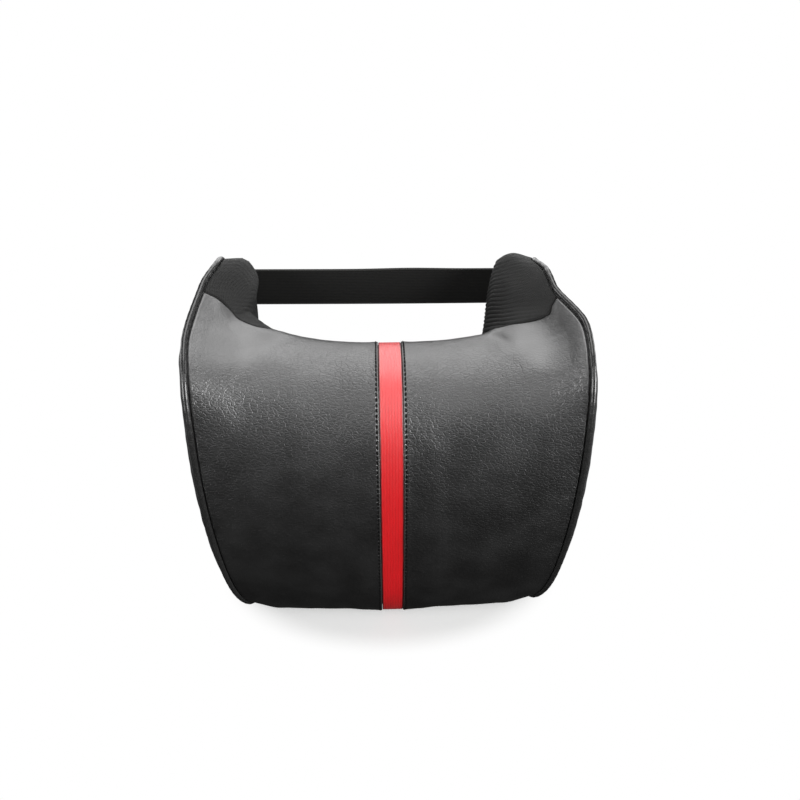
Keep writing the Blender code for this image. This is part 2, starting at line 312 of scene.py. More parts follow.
@dataclass(frozen=True)
class PillowForm:
    """The cover's outer shape: the part's sizes, and an inner wall for each wing.

    A point of it has two places: across, from -1 at the left side seam to 1 at the
    right one, and place, counted in corner points along the section.
    """

    mid_depth: float = 0.105
    mid_height: float = 0.224
    wing_depth: float = 0.156
    wing_height: float = 0.264
    wing_lift: float = 0.003
    full_half_width: float = 0.1305
    foot_half_width: float = 0.1120
    tip_half_width: float = 0.1250
    left_wall: WingWall = WingWall(0.812, 0.042, 0.830, 0.060, 0.16)
    right_wall: WingWall = WingWall(0.515, 0.180, 0.615, 0.160, 0.20)
    left_ridge: Span = (0.74, 0.90)
    ridge_share: float = 0.80
    flat_foot: float = 0.78
    top_sweep: float = 2.6
    skin: float = 0.0016
    skin_gap: float = 0.0003
    core_gap: float = 0.0012
    stripe_width: float = 0.0160
    piping_radius: float = 0.0020
    strap_thickness: float = 0.0015
    side_bulge: float = 0.0080
    side_fullness: float = 12.0
    floor_seam: float = -2.0
    top_seam: float = 10.0
    seam_reach: float = 1.8
    seam_softness: tuple[float, ...] = (-0.014, -0.007, 0.0, 0.007, 0.014)
    settling: Settling = Settling()

    @cached_property
    def middle_y(self) -> float:
        """The distance from the sections' front to the origin."""
        strap_back = self.wing_depth + self.skin_gap + self.strap_thickness
        reach = max(strap_back, self.wing_depth + self.piping_radius)
        return (reach - self.piping_radius) / 2

    @cached_property
    def corner_count(self) -> int:
        """How many corner points a section has."""
        return len(MID_SECTION)

    @cached_property
    def mid_points(self) -> Array:
        """The middle section's corner points."""
        return self.fitted(MID_SECTION, self.mid_depth, 0.0, self.mid_height)

    @cached_property
    def wing_points(self) -> Array:
        """The wing section's corner points."""
        return self.fitted(WING_SECTION, self.wing_depth, self.wing_lift, self.wing_height)

    @cached_property
    def half_widths(self) -> Array:
        """The distance from the middle to the side seam at each corner point."""
        full, foot, tip = self.full_half_width, self.foot_half_width, self.tip_half_width
        widths = np.full(self.corner_count, full)
        widths[list(TIP_POINTS)] = tip
        widths[list(FLOOR_POINTS)] = foot
        for point, share in FRONT_WIDENING.items():
            widths[point] = foot + (full - foot) * share
        for point, share in TOP_NARROWING.items():
            widths[point] = full + (tip - full) * share
        return widths

    @staticmethod
    def curve_weights(part: Array) -> tuple[Array, ...]:
        """Weights of four neighbouring corner points of a smooth curve.

        Args:
            part: The share of the way from one corner point to the next.

        Returns:
            One weight for each of the four points.
        """
        return (
            (1 - part) ** 3 / 6,
            (3 * part ** 3 - 6 * part ** 2 + 4) / 6,
            (-3 * part ** 3 + 3 * part ** 2 + 3 * part + 1) / 6,
            part ** 3 / 6,
        )

    def fitted(self, section: Sequence[tuple[float, float]], depth: float, low: float,
               high: float) -> Array:
        """Scale a section so that its curve just fills its sizes.

        Args:
            section: Corner points in shares.
            depth: The section's size from front to back.
            low: Its lowest height.
            high: Its greatest height.

        Returns:
            The corner points in metres.
        """
        points = np.array(section, dtype=float)
        places = np.linspace(0, len(points), 16 * len(points), endpoint=False)
        first = np.floor(places).astype(int) - 1
        curve = sum(weight[:, None] * points[(first + k) % len(points)]
                    for k, weight in enumerate(self.curve_weights(places - np.floor(places))))
        smallest, largest = curve.min(axis=0), curve.max(axis=0)
        points = (points - smallest) / (largest - smallest)
        return points * np.array((depth, high - low)) + np.array((0.0, low))

    def half_width(self, place: Array) -> Array:
        """The distance from the middle to the side seam at places on the section."""
        place = np.asarray(place, dtype=float)
        first = np.floor(place).astype(int) - 1
        return sum(weight * self.half_widths[(first + k) % self.corner_count]
                   for k, weight in enumerate(self.curve_weights(place - np.floor(place))))

    def cover(self, across: Array, place: Array) -> Array:
        """Points of the cover's outer face, before the stuffing settles.

        Args:
            across: Places from one side seam to the other.
            place: Places along the section.

        Returns:
            An array of points, with x, y and z last.
        """
        across, place = np.broadcast_arrays(
            np.asarray(across, dtype=float), np.asarray(place, dtype=float))
        out = np.abs(across)
        sweep = out ** self.top_sweep
        turn = np.where(across < 0, self.left_wall.turn(out), self.right_wall.turn(out))
        soft_turn = smooth_step(out, *self.left_ridge)
        foot = smooth_step(out, self.flat_foot, 1.0)
        is_back = np.isin(np.arange(self.corner_count), BACK_POINTS)
        is_floor = np.isin(np.arange(self.corner_count), FLOOR_POINTS)
        first = np.floor(place).astype(int) - 1
        depth = height = 0.0
        for k, weight in enumerate(self.curve_weights(place - np.floor(place))):
            corner = (first + k) % self.corner_count
            share_y = np.where(is_back[corner], turn, sweep)
            ridge = (corner == BACK_POINTS[0]) & (across < 0)
            share_y = np.where(ridge, np.maximum(soft_turn, self.ridge_share * sweep),
                               share_y)
            share_z = np.where(is_floor[corner], foot, share_y)
            low, high = self.mid_points[corner], self.wing_points[corner]
            depth = depth + weight * (low[..., 0] + (high - low)[..., 0] * share_y)
            height = height + weight * (low[..., 1] + (high - low)[..., 1] * share_z)
        return np.stack((across * self.half_width(place), depth - self.middle_y, height),
                        axis=-1)

    def outward(self, across: Array, place: Array) -> Array:
        """Directions of length 1 that point straight out of the cover."""
        step = 0.01
        low, high = np.maximum(across - step, -1.0), np.minimum(across + step, 1.0)
        along_x = self.cover(high, place) - self.cover(low, place)
        along_section = self.cover(across, place + step) - self.cover(across, place - step)
        square = np.cross(along_x, along_section)
        return square / np.linalg.norm(square, axis=-1, keepdims=True)

    def seam_drawn(self, across: Array, place: Array) -> Array:
        """Draw the top seam forward over the wings, where the mesh lobes cover more.

        Args:
            across: Places from one side seam to the other.
            place: Places along the section.

        Returns:
            The places along the section, drawn forward near the top seam.
        """
        shift = np.mean([np.interp(across + step, *np.transpose(SEAM_LINE))
                         for step in self.seam_softness], axis=0)
        away = np.abs(place - self.top_seam) / self.seam_reach
        return place - shift * (1 - smooth_step(away, 0.0, 1.0))

    def surface(self, across: Array, place: Array, lift: Array | float) -> Array:
        """Points above or below the cover's outer face.

        Args:
            across: Places from one side seam to the other.
            place: Places along the section.
            lift: Heights above the face, below it where negative.

        Returns:
            An array of points, none of them under the floor.
        """
        across, place = np.broadcast_arrays(
            np.asarray(across, dtype=float), np.asarray(place, dtype=float))
        raised = self.outward(across, place) * np.asarray(lift, dtype=float)[..., None]
        points = self.settling.moved(self.cover(across, place) + raised)
        points[..., 2] = np.maximum(points[..., 2], 0.0)
        return points

    def places_by_length(self, start: float, end: float, distances: Callable[[float], Array],
                         across: float = 0.5) -> tuple[Array, Array]:
        """Places along the section at given distances from its start.

        Args:
            start: The first place.
            end: The last place.
            distances: Gives the distances for a whole length.
            across: Where the length is measured.

        Returns:
            The places, and their distances.
        """
        places = np.linspace(start, end, 1200)
        steps = np.linalg.norm(np.diff(self.cover(across, places), axis=0), axis=1)
        runs = np.concatenate(((0.0,), np.cumsum(steps)))
        wanted = distances(runs[-1])
        return np.interp(wanted, runs, places), wanted


@dataclass(frozen=True)
class Spacing:
    """Distances along a sheet, close together near its edges.

    Attributes:
        step: The distance between points away from the edges.
        near_start: The first distances from the start.
        near_end: The last distances, counted from the end.
        group: The number of steps is a multiple of this.
    """

    step: float
    near_start: tuple[float, ...] = (0.0,)
    near_end: tuple[float, ...] = (0.0,)
    group: int = 4

    def __call__(self, length: float) -> Array:
        """The distances for a sheet of that length."""
        first, last = self.near_start[-1], length - self.near_end[-1]
        taken = len(self.near_start) + len(self.near_end) - 2
        count = max(round((last - first) / self.step), 1)
        count += -(count + taken) % self.group
        middle = np.linspace(first, last, count + 1)
        ends = length - np.array(self.near_end[::-1])
        return np.concatenate((self.near_start[:-1], middle, ends[1:]))


SEWN_EDGE = tuple(v * MM for v in (0.0, 0.15, 0.4, 0.75, 1.2, 1.8, 2.5, 3.4))
FOLDED_EDGE = tuple(v * MM for v in (0.0, 0.08, 0.22, 0.42, 0.7, 1.0, 1.35, 1.7, 2.0, 2.3,
                                     2.6, 2.9, 3.3, 3.9, 4.7))
STITCH_STEPS = np.linspace(-1, 1, 9)


class MeshMaker:
    """Makes closed bodies from grids of points.

    Edges of faces that meet more steeply than SHARP stay sharp. DISC_GRAIN is how deep
    the grain is on a disc of leather.
    """

    SHARP = math.radians(55)
    DISC_GRAIN = 0.8

    @staticmethod
    def finish_mesh(name: str, points: Array, faces: Faces, places: Array | None = None,
                    tone_share: Array | None = None) -> bpy.types.Object:
        """Make an object whose faces point outward.

        Args:
            name: The object's name.
            points: All points.
            faces: All faces.
            places: Two or three cloth coordinates in metres for each point.
            tone_share: The piece's own share at each point, from 0 to 1, such as a painted
                highlight or the painted shade in its ribs' grooves.

        Returns:
            The object, linked to the scene.
        """
        mesh = bpy.data.meshes.new(name)
        mesh.from_pydata([tuple(point) for point in points.tolist()], [], faces)
        work = bmesh.new()
        work.from_mesh(mesh)
        bmesh.ops.recalc_face_normals(work, faces=work.faces)
        work.to_mesh(mesh)
        work.free()
        if places is not None:
            lay = mesh.attributes.new("cloth_place", "FLOAT_VECTOR", "POINT")
            full = np.zeros((len(points), 3), dtype=np.float32)
            full[:, :places.shape[1]] = places
            lay.data.foreach_set("vector", full.ravel())
        if tone_share is not None:
            painted_tone = mesh.attributes.new("tone_share", "FLOAT", "POINT")
            painted_tone.data.foreach_set("value", np.asarray(tone_share, dtype=np.float32).ravel())
        mesh.shade_smooth()
        mesh.set_sharp_from_angle(angle=MeshMaker.SHARP)
        piece = bpy.data.objects.new(name, mesh)
        bpy.context.scene.collection.objects.link(piece)
        return piece

    @staticmethod
    def edge_strip(outer: Sequence[int], inner: Sequence[int], group: int) -> Faces:
        """Close the edge between a fine and a coarse line of points.

        Args:
            outer: Indices along the fine line.
            inner: Indices along the coarse line, one for each group of the fine one.
            group: How many fine steps go with one coarse step.

        Returns:
            Triangles.
        """
        faces = []
        for k in range(len(inner) - 1):
            run = outer[k * group:(k + 1) * group + 1]
            faces += [(inner[k], run[i], run[i + 1]) for i in range(group)]
            faces.append((inner[k], run[-1], inner[k + 1]))
        return faces

    @classmethod
    def sheet(cls, name: str, outer: Array, inner: Array, group: int = 4,
              places: Array | None = None, tone_share: Array | None = None) -> bpy.types.Object:
        """A closed sheet from a grid for each face, fine outside and coarse inside.

        Args:
            name: The object's name.
            outer: The outer face's points, rows by columns.
            inner: The inner face's points, on the same grid.
            group: How many fine steps go with one coarse step.
            places: Cloth coordinates on the same grid.
            tone_share: The tone share on the same grid: a painted highlight, painted groove
                shade or a bead.

        Returns:
            The object.
        """
        rows, columns = outer.shape[:2]
        coarse = inner[::group, ::group]
        coarse_rows, coarse_columns = coarse.shape[:2]
        start = rows * columns
        fine_index = np.arange(start).reshape(rows, columns)
        coarse_index = start + np.arange(coarse_rows * coarse_columns).reshape(
            coarse_rows, coarse_columns)
        faces = cls.quads(fine_index) + cls.quads(coarse_index[:, ::-1])
        faces += cls.edge_strip(cls.border(fine_index), cls.border(coarse_index), group)
        points = np.concatenate((outer.reshape(-1, 3), coarse.reshape(-1, 3)))
        if places is not None:
            size = places.shape[-1]
            places = np.concatenate((places.reshape(-1, size),
                                     places[::group, ::group].reshape(-1, size)))
        if tone_share is not None:
            tone_share = np.concatenate((tone_share.ravel(), tone_share[::group, ::group].ravel()))
        return cls.finish_mesh(name, points, faces, places, tone_share)

    @staticmethod
    def quads(index: Array, wrap: bool = False) -> Faces:
        """Four-sided faces through a grid of indices.

        Args:
            index: Indices, rows by columns.
            wrap: Whether the last column joins the first.

        Returns:
            The faces.
        """
        if wrap:
            index = np.concatenate((index, index[:, :1]), axis=1)
        stack = np.stack((index[:-1, :-1], index[:-1, 1:], index[1:, 1:], index[1:, :-1]),
                         axis=-1)
        return [tuple(face) for face in stack.reshape(-1, 4).tolist()]

    @staticmethod
    def border(index: Array) -> list[int]:
        """The indices round the edge of a grid, back to the first."""
        return [*index[0, :-1].tolist(), *index[:-1, -1].tolist(),
                *index[-1, :0:-1].tolist(), *index[:0:-1, 0].tolist(), int(index[0, 0])]

    @staticmethod
    def directions(vectors: Array) -> Array:
        """Vectors made 1 long."""
        return vectors / np.linalg.norm(vectors, axis=1, keepdims=True)

    @staticmethod
    def round_sections(line: Array, along: Array, first: Array, radius: Array,
                       sides: int) -> Array:
        """Circles of points round a line.

        Args:
            line: The line's points.
            along: The line's direction at each point.
            first: The direction of each circle's first point.
            radius: The radius at each point.
            sides: How many points a circle has.

        Returns:
            An array of points, with one circle to a row.
        """
        second = np.cross(along, first)
        angle = np.linspace(0, 2 * math.pi, sides, endpoint=False)
        circle = (first[:, None] * np.cos(angle)[None, :, None]
                  + second[:, None] * np.sin(angle)[None, :, None])
        return line[:, None] + circle * radius[:, None, None]

    @classmethod
    def tube(cls, name: str, line: Array, radius: Array, aside: Array,
             sides: int = 16) -> bpy.types.Object:
        """A closed ring of round section round a closed line.

        Args:
            name: The object's name.
            line: The line's points, without a repeated last one.
            radius: The radius at each point.
            aside: A direction at each point, not along the line.
            sides: How many points go round the section.

        Returns:
            The object.
        """
        along = cls.directions(np.roll(line, -1, axis=0) - np.roll(line, 1, axis=0))
        first = cls.directions(aside - along * (aside * along).sum(axis=1, keepdims=True))
        points = cls.round_sections(line, along, first, radius, sides)
        index = np.arange(len(line) * sides).reshape(-1, sides)
        closed = np.concatenate((index, index[:1]), axis=0)
        return cls.finish_mesh(name, points.reshape(-1, 3), cls.quads(closed, wrap=True))

    @classmethod
    def capped(cls, rings: Array) -> tuple[Array, Faces]:
        """A closed body through a stack of rings, with a flat face at each end.

        Args:
            rings: The points, with one ring to a row.

        Returns:
            The body's points and faces.
        """
        count, around = rings.shape[:2]
        index = np.arange(count * around).reshape(-1, around)
        faces = cls.quads(index, wrap=True)
        faces += [tuple(index[0].tolist()), tuple(index[-1, ::-1].tolist())]
        return rings.reshape(-1, 3), faces

    @classmethod
    def stitch(cls, line: Array, radius: float, aside: Triple,
               sides: int = 8) -> tuple[Array, Faces]:
        """One stitch: a short thread with rounded ends.

        Args:
            line: The points that it follows.
            radius: Its radius.
            aside: A direction that is not along it.
            sides: How many points go round it.

        Returns:
            Its points and faces.
        """
        along = cls.directions(np.gradient(line, axis=0))
        first = cls.directions(np.cross(along, np.array(aside)))
        ends = np.linspace(-1, 1, len(line)) ** 6
        radii = radius * np.sqrt(np.clip(1.02 - ends, 0.04, 1.0))
        return cls.capped(cls.round_sections(line, along, first, radii, sides))

    @classmethod
    def disc(cls, name: str, outer: Array, inner: Array,
             hubs: tuple[Array, Array]) -> bpy.types.Object:
        """A closed shell from rings that run from an edge to a middle.

        Args:
            name: The object's name.
            outer: The outer face's points, rings by points round each.
            inner: The inner face's points.
            hubs: The middle point of each face.

        Returns:
            The object.
        """
        rings, count = outer.shape[:2]
        first = np.arange(rings * count).reshape(rings, count)
        second = first + rings * count
        faces = cls.quads(first, wrap=True) + cls.quads(second[:, ::-1], wrap=True)
        faces += cls.quads(np.stack((second[0], first[0])), wrap=True)
        for index, hub in ((first, 2 * rings * count), (second, 2 * rings * count + 1)):
            last = index[-1].tolist()
            faces += [(a, b, hub) for a, b in zip(last, last[1:] + last[:1])]
        points = np.concatenate((outer.reshape(-1, 3), inner.reshape(-1, 3), np.array(hubs)))
        places = np.concatenate((points[:, 1:], 0 * points[:, :1] + cls.DISC_GRAIN), axis=1)
        return cls.finish_mesh(name, points, faces, places, np.zeros(len(points)))

    @classmethod
    def bodies(cls, name: str, parts: Sequence[tuple[Array, Faces]]) -> bpy.types.Object:
        """Several small closed bodies as one object.

        Args:
            name: The object's name.
            parts: The points and faces of each body.

        Returns:
            The object.
        """
        points, faces, start = [], [], 0
        for part_points, part_faces in parts:
            points.append(part_points)
            faces += [tuple(start + corner for corner in face) for face in part_faces]
            start += len(part_points)
        return cls.finish_mesh(name, np.concatenate(points), faces)


@dataclass(frozen=True)
class Inflated:
    """A sheet of cloth, held all round and blown out from inside.

    Attributes:
        group: The cloth has every so many rows and columns of the fine sheet.
        pressure: The pressure inside.
        cap: The furthest that a point may move.
        frames: How long the cloth has to settle.
        inside: A height within the pillow, which the pressure comes from.
    """

    group: int
    pressure: float = 4.0
    cap: float = 0.0024
    frames: int = 20
    inside: float = 0.1

    def moves(self, sheet: Array) -> Array:
        """How far each point of a sheet moves when it is blown out.

        Args:
            sheet: The sheet's points, rows by columns.

        Returns:
            A move for each point, nothing at the edges.
        """
        rows = self.kept(sheet.shape[0])
        columns = self.kept(sheet.shape[1])
        coarse = sheet[np.ix_(rows, columns)]
        moved = self.simulated(coarse) - coarse
        length = np.linalg.norm(moved, axis=-1, keepdims=True)
        moved = moved * (self.cap / (self.cap + length))
        fine = np.empty_like(sheet)
        for axis in range(3):
            across = np.stack([np.interp(np.arange(sheet.shape[1]), columns, row)
                               for row in moved[..., axis]])
            fine[..., axis] = np.stack([np.interp(np.arange(sheet.shape[0]), rows, column)
                                        for column in across.T], axis=1)
        return self.smoothed(fine)

    def kept(self, count: int) -> Array:
        """The rows or columns that the cloth has, the last one among them."""
        return np.unique(np.append(np.arange(0, count, self.group), count - 1))

    def smoothed(self, moves: Array) -> Array:
        """Moves with the corners between the cloth's faces rounded off."""
        for _turn in range(2 * self.group):
            for axis in (0, 1):
                side = np.swapaxes(moves, 0, axis)
                side[1:-1] = 0.25 * side[:-2] + 0.5 * side[1:-1] + 0.25 * side[2:]
        return moves

    def simulated(self, sheet: Array) -> Array:
        """Run Blender's cloth on a sheet and return its settled points."""
        rows, columns = sheet.shape[:2]
        index = np.arange(rows * columns).reshape(rows, columns)
        mesh = bpy.data.meshes.new("cloth_run")
        mesh.from_pydata(sheet.reshape(-1, 3).tolist(), [], MeshMaker.quads(index))
        cloth = bpy.data.objects.new("cloth_run", mesh)
        scene = bpy.context.scene
        scene.collection.objects.link(cloth)
        pinned = cloth.vertex_groups.new(name="sewn")
        pinned.add(MeshMaker.border(index)[:-1], 1.0, "REPLACE")
        heart = Vector((0.0, sheet.reshape(-1, 3).mean(axis=0)[1] / 3, self.inside))
        facing = sum(face.area * face.normal.dot(face.center - heart)
                     for face in mesh.polygons)
        run = cloth.modifiers.new("cloth", "CLOTH")
        run.settings.quality = 6
        run.settings.mass = 0.25
        run.settings.tension_stiffness = 20.0
        run.settings.compression_stiffness = 20.0
        run.settings.shear_stiffness = 8.0
        run.settings.bending_stiffness = 0.4
        run.settings.air_damping = 2.0
        run.settings.vertex_group_mass = pinned.name
        run.settings.shrink_min = -0.012
        run.settings.use_pressure = True
        run.settings.uniform_pressure_force = self.pressure * (1 if facing > 0 else -1)
        run.settings.effector_weights.gravity = 0.0
        run.collision_settings.use_collision = False
        run.point_cache.frame_start, run.point_cache.frame_end = 1, self.frames
        for step in range(1, self.frames + 1):
            scene.frame_set(step)
        settled = cloth.evaluated_get(bpy.context.evaluated_depsgraph_get()).to_mesh()
        points = np.empty(3 * rows * columns, dtype=np.float32)
        settled.vertices.foreach_get("co", points)
        scene.frame_set(1)
        bpy.data.objects.remove(cloth, do_unlink=True)
        bpy.data.meshes.remove(mesh)
        return points.reshape(rows, columns, 3).astype(float)


class Nodes:
    """A new Principled material, with short ways to add and join its nodes."""

    def __init__(self, name: str) -> None:
        """Make the material.

        Args:
            name: The material's name.
        """
        self.material = bpy.data.materials.new(name)
        self.material.use_nodes = True
        self.tree = self.material.node_tree
        self.shader = self.tree.nodes["Principled BSDF"]

    def add(self, kind: str, inputs: dict[str, Any] | None = None,
            **settings: Any) -> bpy.types.Node:
        """Add a node.

        Args:
            kind: The node's type, without its ShaderNode prefix.
            inputs: Values or sockets for its inputs.
            **settings: Its own settings.

        Returns:
            The node.
        """
        node = self.tree.nodes.new("ShaderNode" + kind)
        for key, value in settings.items():
            setattr(node, key, value)
        for key, value in (inputs or {}).items():
            self.put(node.inputs[key], value)
        return node

    def put(self, target: bpy.types.NodeSocket, value: Any) -> None:
        """Give an input a value, or join a socket to it."""
        if isinstance(value, bpy.types.NodeSocket):
            self.tree.links.new(value, target)
        else:
            target.default_value = value

    def maths(self, operation: str, *values: Any) -> bpy.types.NodeSocket:
        """The result of a sum of numbers or sockets."""
        node = self.add("Math", operation=operation)
        for socket, value in zip(node.inputs, values):
            self.put(socket, value)
        return node.outputs[0]

    def spread(self, value: Any, low: float, high: float, to_low: float = 0.0,
               to_high: float = 1.0) -> bpy.types.NodeSocket:
        """Turn a range of values into another range, smoothly and held at its ends."""
        node = self.add("MapRange", {"Value": value, "From Min": low, "From Max": high,
                                     "To Min": to_low, "To Max": to_high},
                        interpolation_type="SMOOTHSTEP")
        return node.outputs["Result"]

    def mixed(self, share: Any, first: tuple, second: tuple) -> bpy.types.NodeSocket:
        """A colour between two colours."""
        node = self.add("Mix", data_type="RGBA")
        self.put(node.inputs[0], share)
        for socket, value in ((node.inputs[6], first), (node.inputs[7], second)):
            self.put(socket, (*value, 1.0) if isinstance(value, tuple) else value)
        return node.outputs[2]

    def object_place(self) -> bpy.types.NodeSocket:
        """The place in the object."""
        return self.add("TexCoord").outputs["Object"]

    def cloth_place(self) -> tuple[bpy.types.NodeSocket, ...]:
        """The three cloth coordinates, in metres."""
        lay = self.add("Attribute", attribute_name="cloth_place").outputs["Vector"]
        return tuple(self.add("SeparateXYZ", {"Vector": lay}).outputs)

    def tone_share(self) -> bpy.types.NodeSocket:
        """The piece's own share from 0 to 1: a painted highlight on a fold, ribs that paint
        shade into their grooves, or a bead.
        """
        return self.add("Attribute", attribute_name="tone_share").outputs["Fac"]

    def wave(self, run: Any, length: float) -> bpy.types.NodeSocket:
        """An even wave from -1 to 1 along a distance."""
        return self.maths("SINE", self.maths("MULTIPLY", run, 2 * math.pi / length))

    def noise(self, place: Any, scale: float, detail: float = 2.0) -> bpy.types.NodeSocket:
        """Soft noise from 0 to 1."""
        return self.add("TexNoise", {"Vector": place, "Scale": scale, "Detail": detail},
                        ).outputs["Fac"]

    def cells(self, place: Any, scale: float) -> bpy.types.NodeSocket:
        """The distance to the nearest edge between irregular cells."""
        return self.add("TexVoronoi", {"Vector": place, "Scale": scale},
                        feature="DISTANCE_TO_EDGE").outputs["Distance"]

    def bumped(self, height: Any, depth: float, strength: float,
               under: Any = None) -> bpy.types.NodeSocket:
        """A normal for a surface raised by a height from 0 to 1."""
        node = self.add("Bump", {"Height": height, "Distance": depth, "Strength": strength})
        if under is not None:
            self.put(node.inputs["Normal"], under)
        return node.outputs["Normal"]

    def set(self, **values: Any) -> None:
        """Set the shader's own inputs, named with underscores for spaces."""
        for key, value in values.items():
            self.put(self.shader.inputs[key.replace("_", " ")], value)


class Finish:
    """What a piece is made of: a slot of the record and a material."""

    slot: Slot

    def material(self) -> bpy.types.Material:
        """The material, made on first use."""
        made = bpy.data.materials.get(self.label)
        return made or self.make()

    @property
    def label(self) -> str:
        """The material's name."""
        return type(self).__name__.lower()

    def make(self) -> bpy.types.Material:
        """Build the material."""
        raise NotImplementedError

    def dress(self, piece: bpy.types.Object) -> None:
        """Give the finish to a piece."""
        piece.data.materials.clear()
        piece.data.materials.append(self.material())


@dataclass(frozen=True)
class GrainedLeather(Finish):
    """Black coated leather with a fine pebble grain."""

    dark: Triple = (0.0018, 0.0018, 0.0019)
    light: Triple = (0.0042, 0.0040, 0.0039)
    # painted_tone: the lighter grey of a painted highlight along the folded edge beside the
    # stripe.
    painted_tone: Triple = (0.060, 0.059, 0.057)
    roughness: float = 0.375
    grain: float = 500.0
    fine_grain: float = 1150.0
    stretch: Triple = (0.55, 1.0, 1.0)
    wander: float = 0.0016
    depth: float = 0.00024
    strength: float = 0.47
    slot: Slot = Slot.LEATHER

    def make(self) -> bpy.types.Material:
        """Pebbles with creases between them, painted darker as shade, over broad patches of
        tone and gloss, with a painted highlight on the folded edge.
        """
        nodes = Nodes(self.label)
        plain = nodes.object_place()
        bend = nodes.add("TexNoise", {"Vector": plain, "Scale": 260.0, "Detail": 2.0})
        pulled = nodes.add("VectorMath", {0: bend.outputs["Color"], 1: (self.wander,) * 3},
                           operation="MULTIPLY").outputs[0]
        place = nodes.add("VectorMath", {0: plain, 1: pulled}, operation="ADD").outputs[0]
        stretched = nodes.add("Mapping", {"Vector": place, "Scale": self.stretch}).outputs[0]
        pebbles = nodes.spread(nodes.cells(stretched, self.grain), 0.0, 0.20)
        fine = nodes.spread(nodes.cells(stretched, self.fine_grain), 0.0, 0.16)
        pores = nodes.noise(plain, scale=2600.0)
        depth = nodes.cloth_place()[2]
        height = nodes.maths("MULTIPLY_ADD", fine, 0.35, pebbles)
        height = nodes.maths("MULTIPLY", height, depth)
        height = nodes.maths("MULTIPLY_ADD", pores, 0.22, height)
        patches = nodes.noise(plain, scale=38.0, detail=3.0)
        tone = nodes.spread(patches, 0.3, 0.7)
        # Painted shade in the creases between the pebbles, scaled by the leather's own patchy
        # tone.
        crease_shade_and_tone = nodes.maths("MULTIPLY", tone, pebbles)
        # Painted highlight along the crest of the folded edge, broken up by the pores.
        fold_highlight = nodes.maths("MULTIPLY", nodes.tone_share(),
                             nodes.spread(pores, 0.35, 0.65, 0.5, 1.0))
        base = nodes.mixed(crease_shade_and_tone, self.dark, self.light)
        gloss = nodes.spread(patches, 0.25, 0.75, self.roughness + 0.05,
                             self.roughness - 0.04)
        gloss = nodes.maths("MULTIPLY_ADD", pores, 0.06, gloss)
        nodes.set(Base_Color=nodes.mixed(fold_highlight, base, self.painted_tone), Roughness=gloss,
                  Specular_IOR_Level=0.95, IOR=1.85,
                  Normal=nodes.bumped(height, self.depth, self.strength))
        return nodes.material


@dataclass(frozen=True)
class RibbedRed(Finish):
    """Red ribbed webbing."""

    red: Triple = (0.96, 0.005, 0.012)
    deep: Triple = (0.68, 0.003, 0.005)
    # edge and edge_shade_span: the dark red of a painted shade along the stripe's sunk edges.
    edge: Triple = (0.16, 0.002, 0.003)
    edge_shade_span: Span = (0.0067, 0.0077)
    weft_pitch: float = 0.00075
    warp_pitch: float = 0.0005
    slot: Slot = Slot.STRIPE

    def make(self) -> bpy.types.Material:
        """Fine crossing threads over the ribs, with painted shade between the ribs and along
        the sunk edges.
        """
        nodes = Nodes(self.label)
        across, along, _rise = nodes.cloth_place()
        weft = nodes.wave(along, self.weft_pitch)
        warp = nodes.wave(across, self.warp_pitch)
        weave = nodes.spread(nodes.maths("MULTIPLY", weft, warp), -1.0, 1.0)
        rib = nodes.tone_share()
        plain = nodes.object_place()
        fuzz = nodes.noise(plain, scale=900.0, detail=3.0)
        patch = nodes.noise(plain, scale=45.0)
        # The rib share paints shade into the grooves between the ribs; the patches are the
        # webbing's own uneven tone.
        shade = nodes.maths("MULTIPLY_ADD", weave, 0.18, nodes.maths("MULTIPLY", rib, 0.26))
        shade = nodes.maths("MULTIPLY_ADD", patch, 0.55, shade)
        base = nodes.mixed(nodes.spread(shade, 0.1, 0.9), self.deep, self.red)
        # Painted shade along the stripe's sunk edges.
        edge = nodes.spread(nodes.maths("ABSOLUTE", across), *self.edge_shade_span)
        nodes.set(Base_Color=nodes.mixed(edge, base, self.edge),
                  Roughness=nodes.spread(fuzz, 0.2, 0.8, 0.34, 0.46),
                  Specular_IOR_Level=0.95, IOR=1.85, Sheen_Weight=0.03, Sheen_Roughness=0.4,
                  Sheen_Tint=(1.0, 0.55, 0.55, 1.0),
                  Normal=nodes.bumped(nodes.maths("ADD", weave, fuzz), 0.00008, 0.5))
        return nodes.material


@dataclass(frozen=True)
class GlossPiping(Finish):
    """Glossy black coated piping."""

    black: Triple = (0.018, 0.018, 0.018)
    dusty: Triple = (0.044, 0.044, 0.043)
    slot: Slot = Slot.PIPING

    def make(self) -> bpy.types.Material:
        """A smooth coat with faint waves and a little dust."""
        nodes = Nodes(self.label)
        plain = nodes.object_place()
        waves = nodes.noise(plain, scale=180.0)
        dust = nodes.noise(plain, scale=1400.0, detail=3.0)
        nodes.set(Base_Color=nodes.mixed(nodes.spread(dust, 0.4, 0.8), self.black, self.dusty),
                  Roughness=nodes.spread(dust, 0.3, 0.8, 0.22, 0.34),
                  Specular_IOR_Level=0.9, Normal=nodes.bumped(waves, 0.0004, 0.25))
        return nodes.material


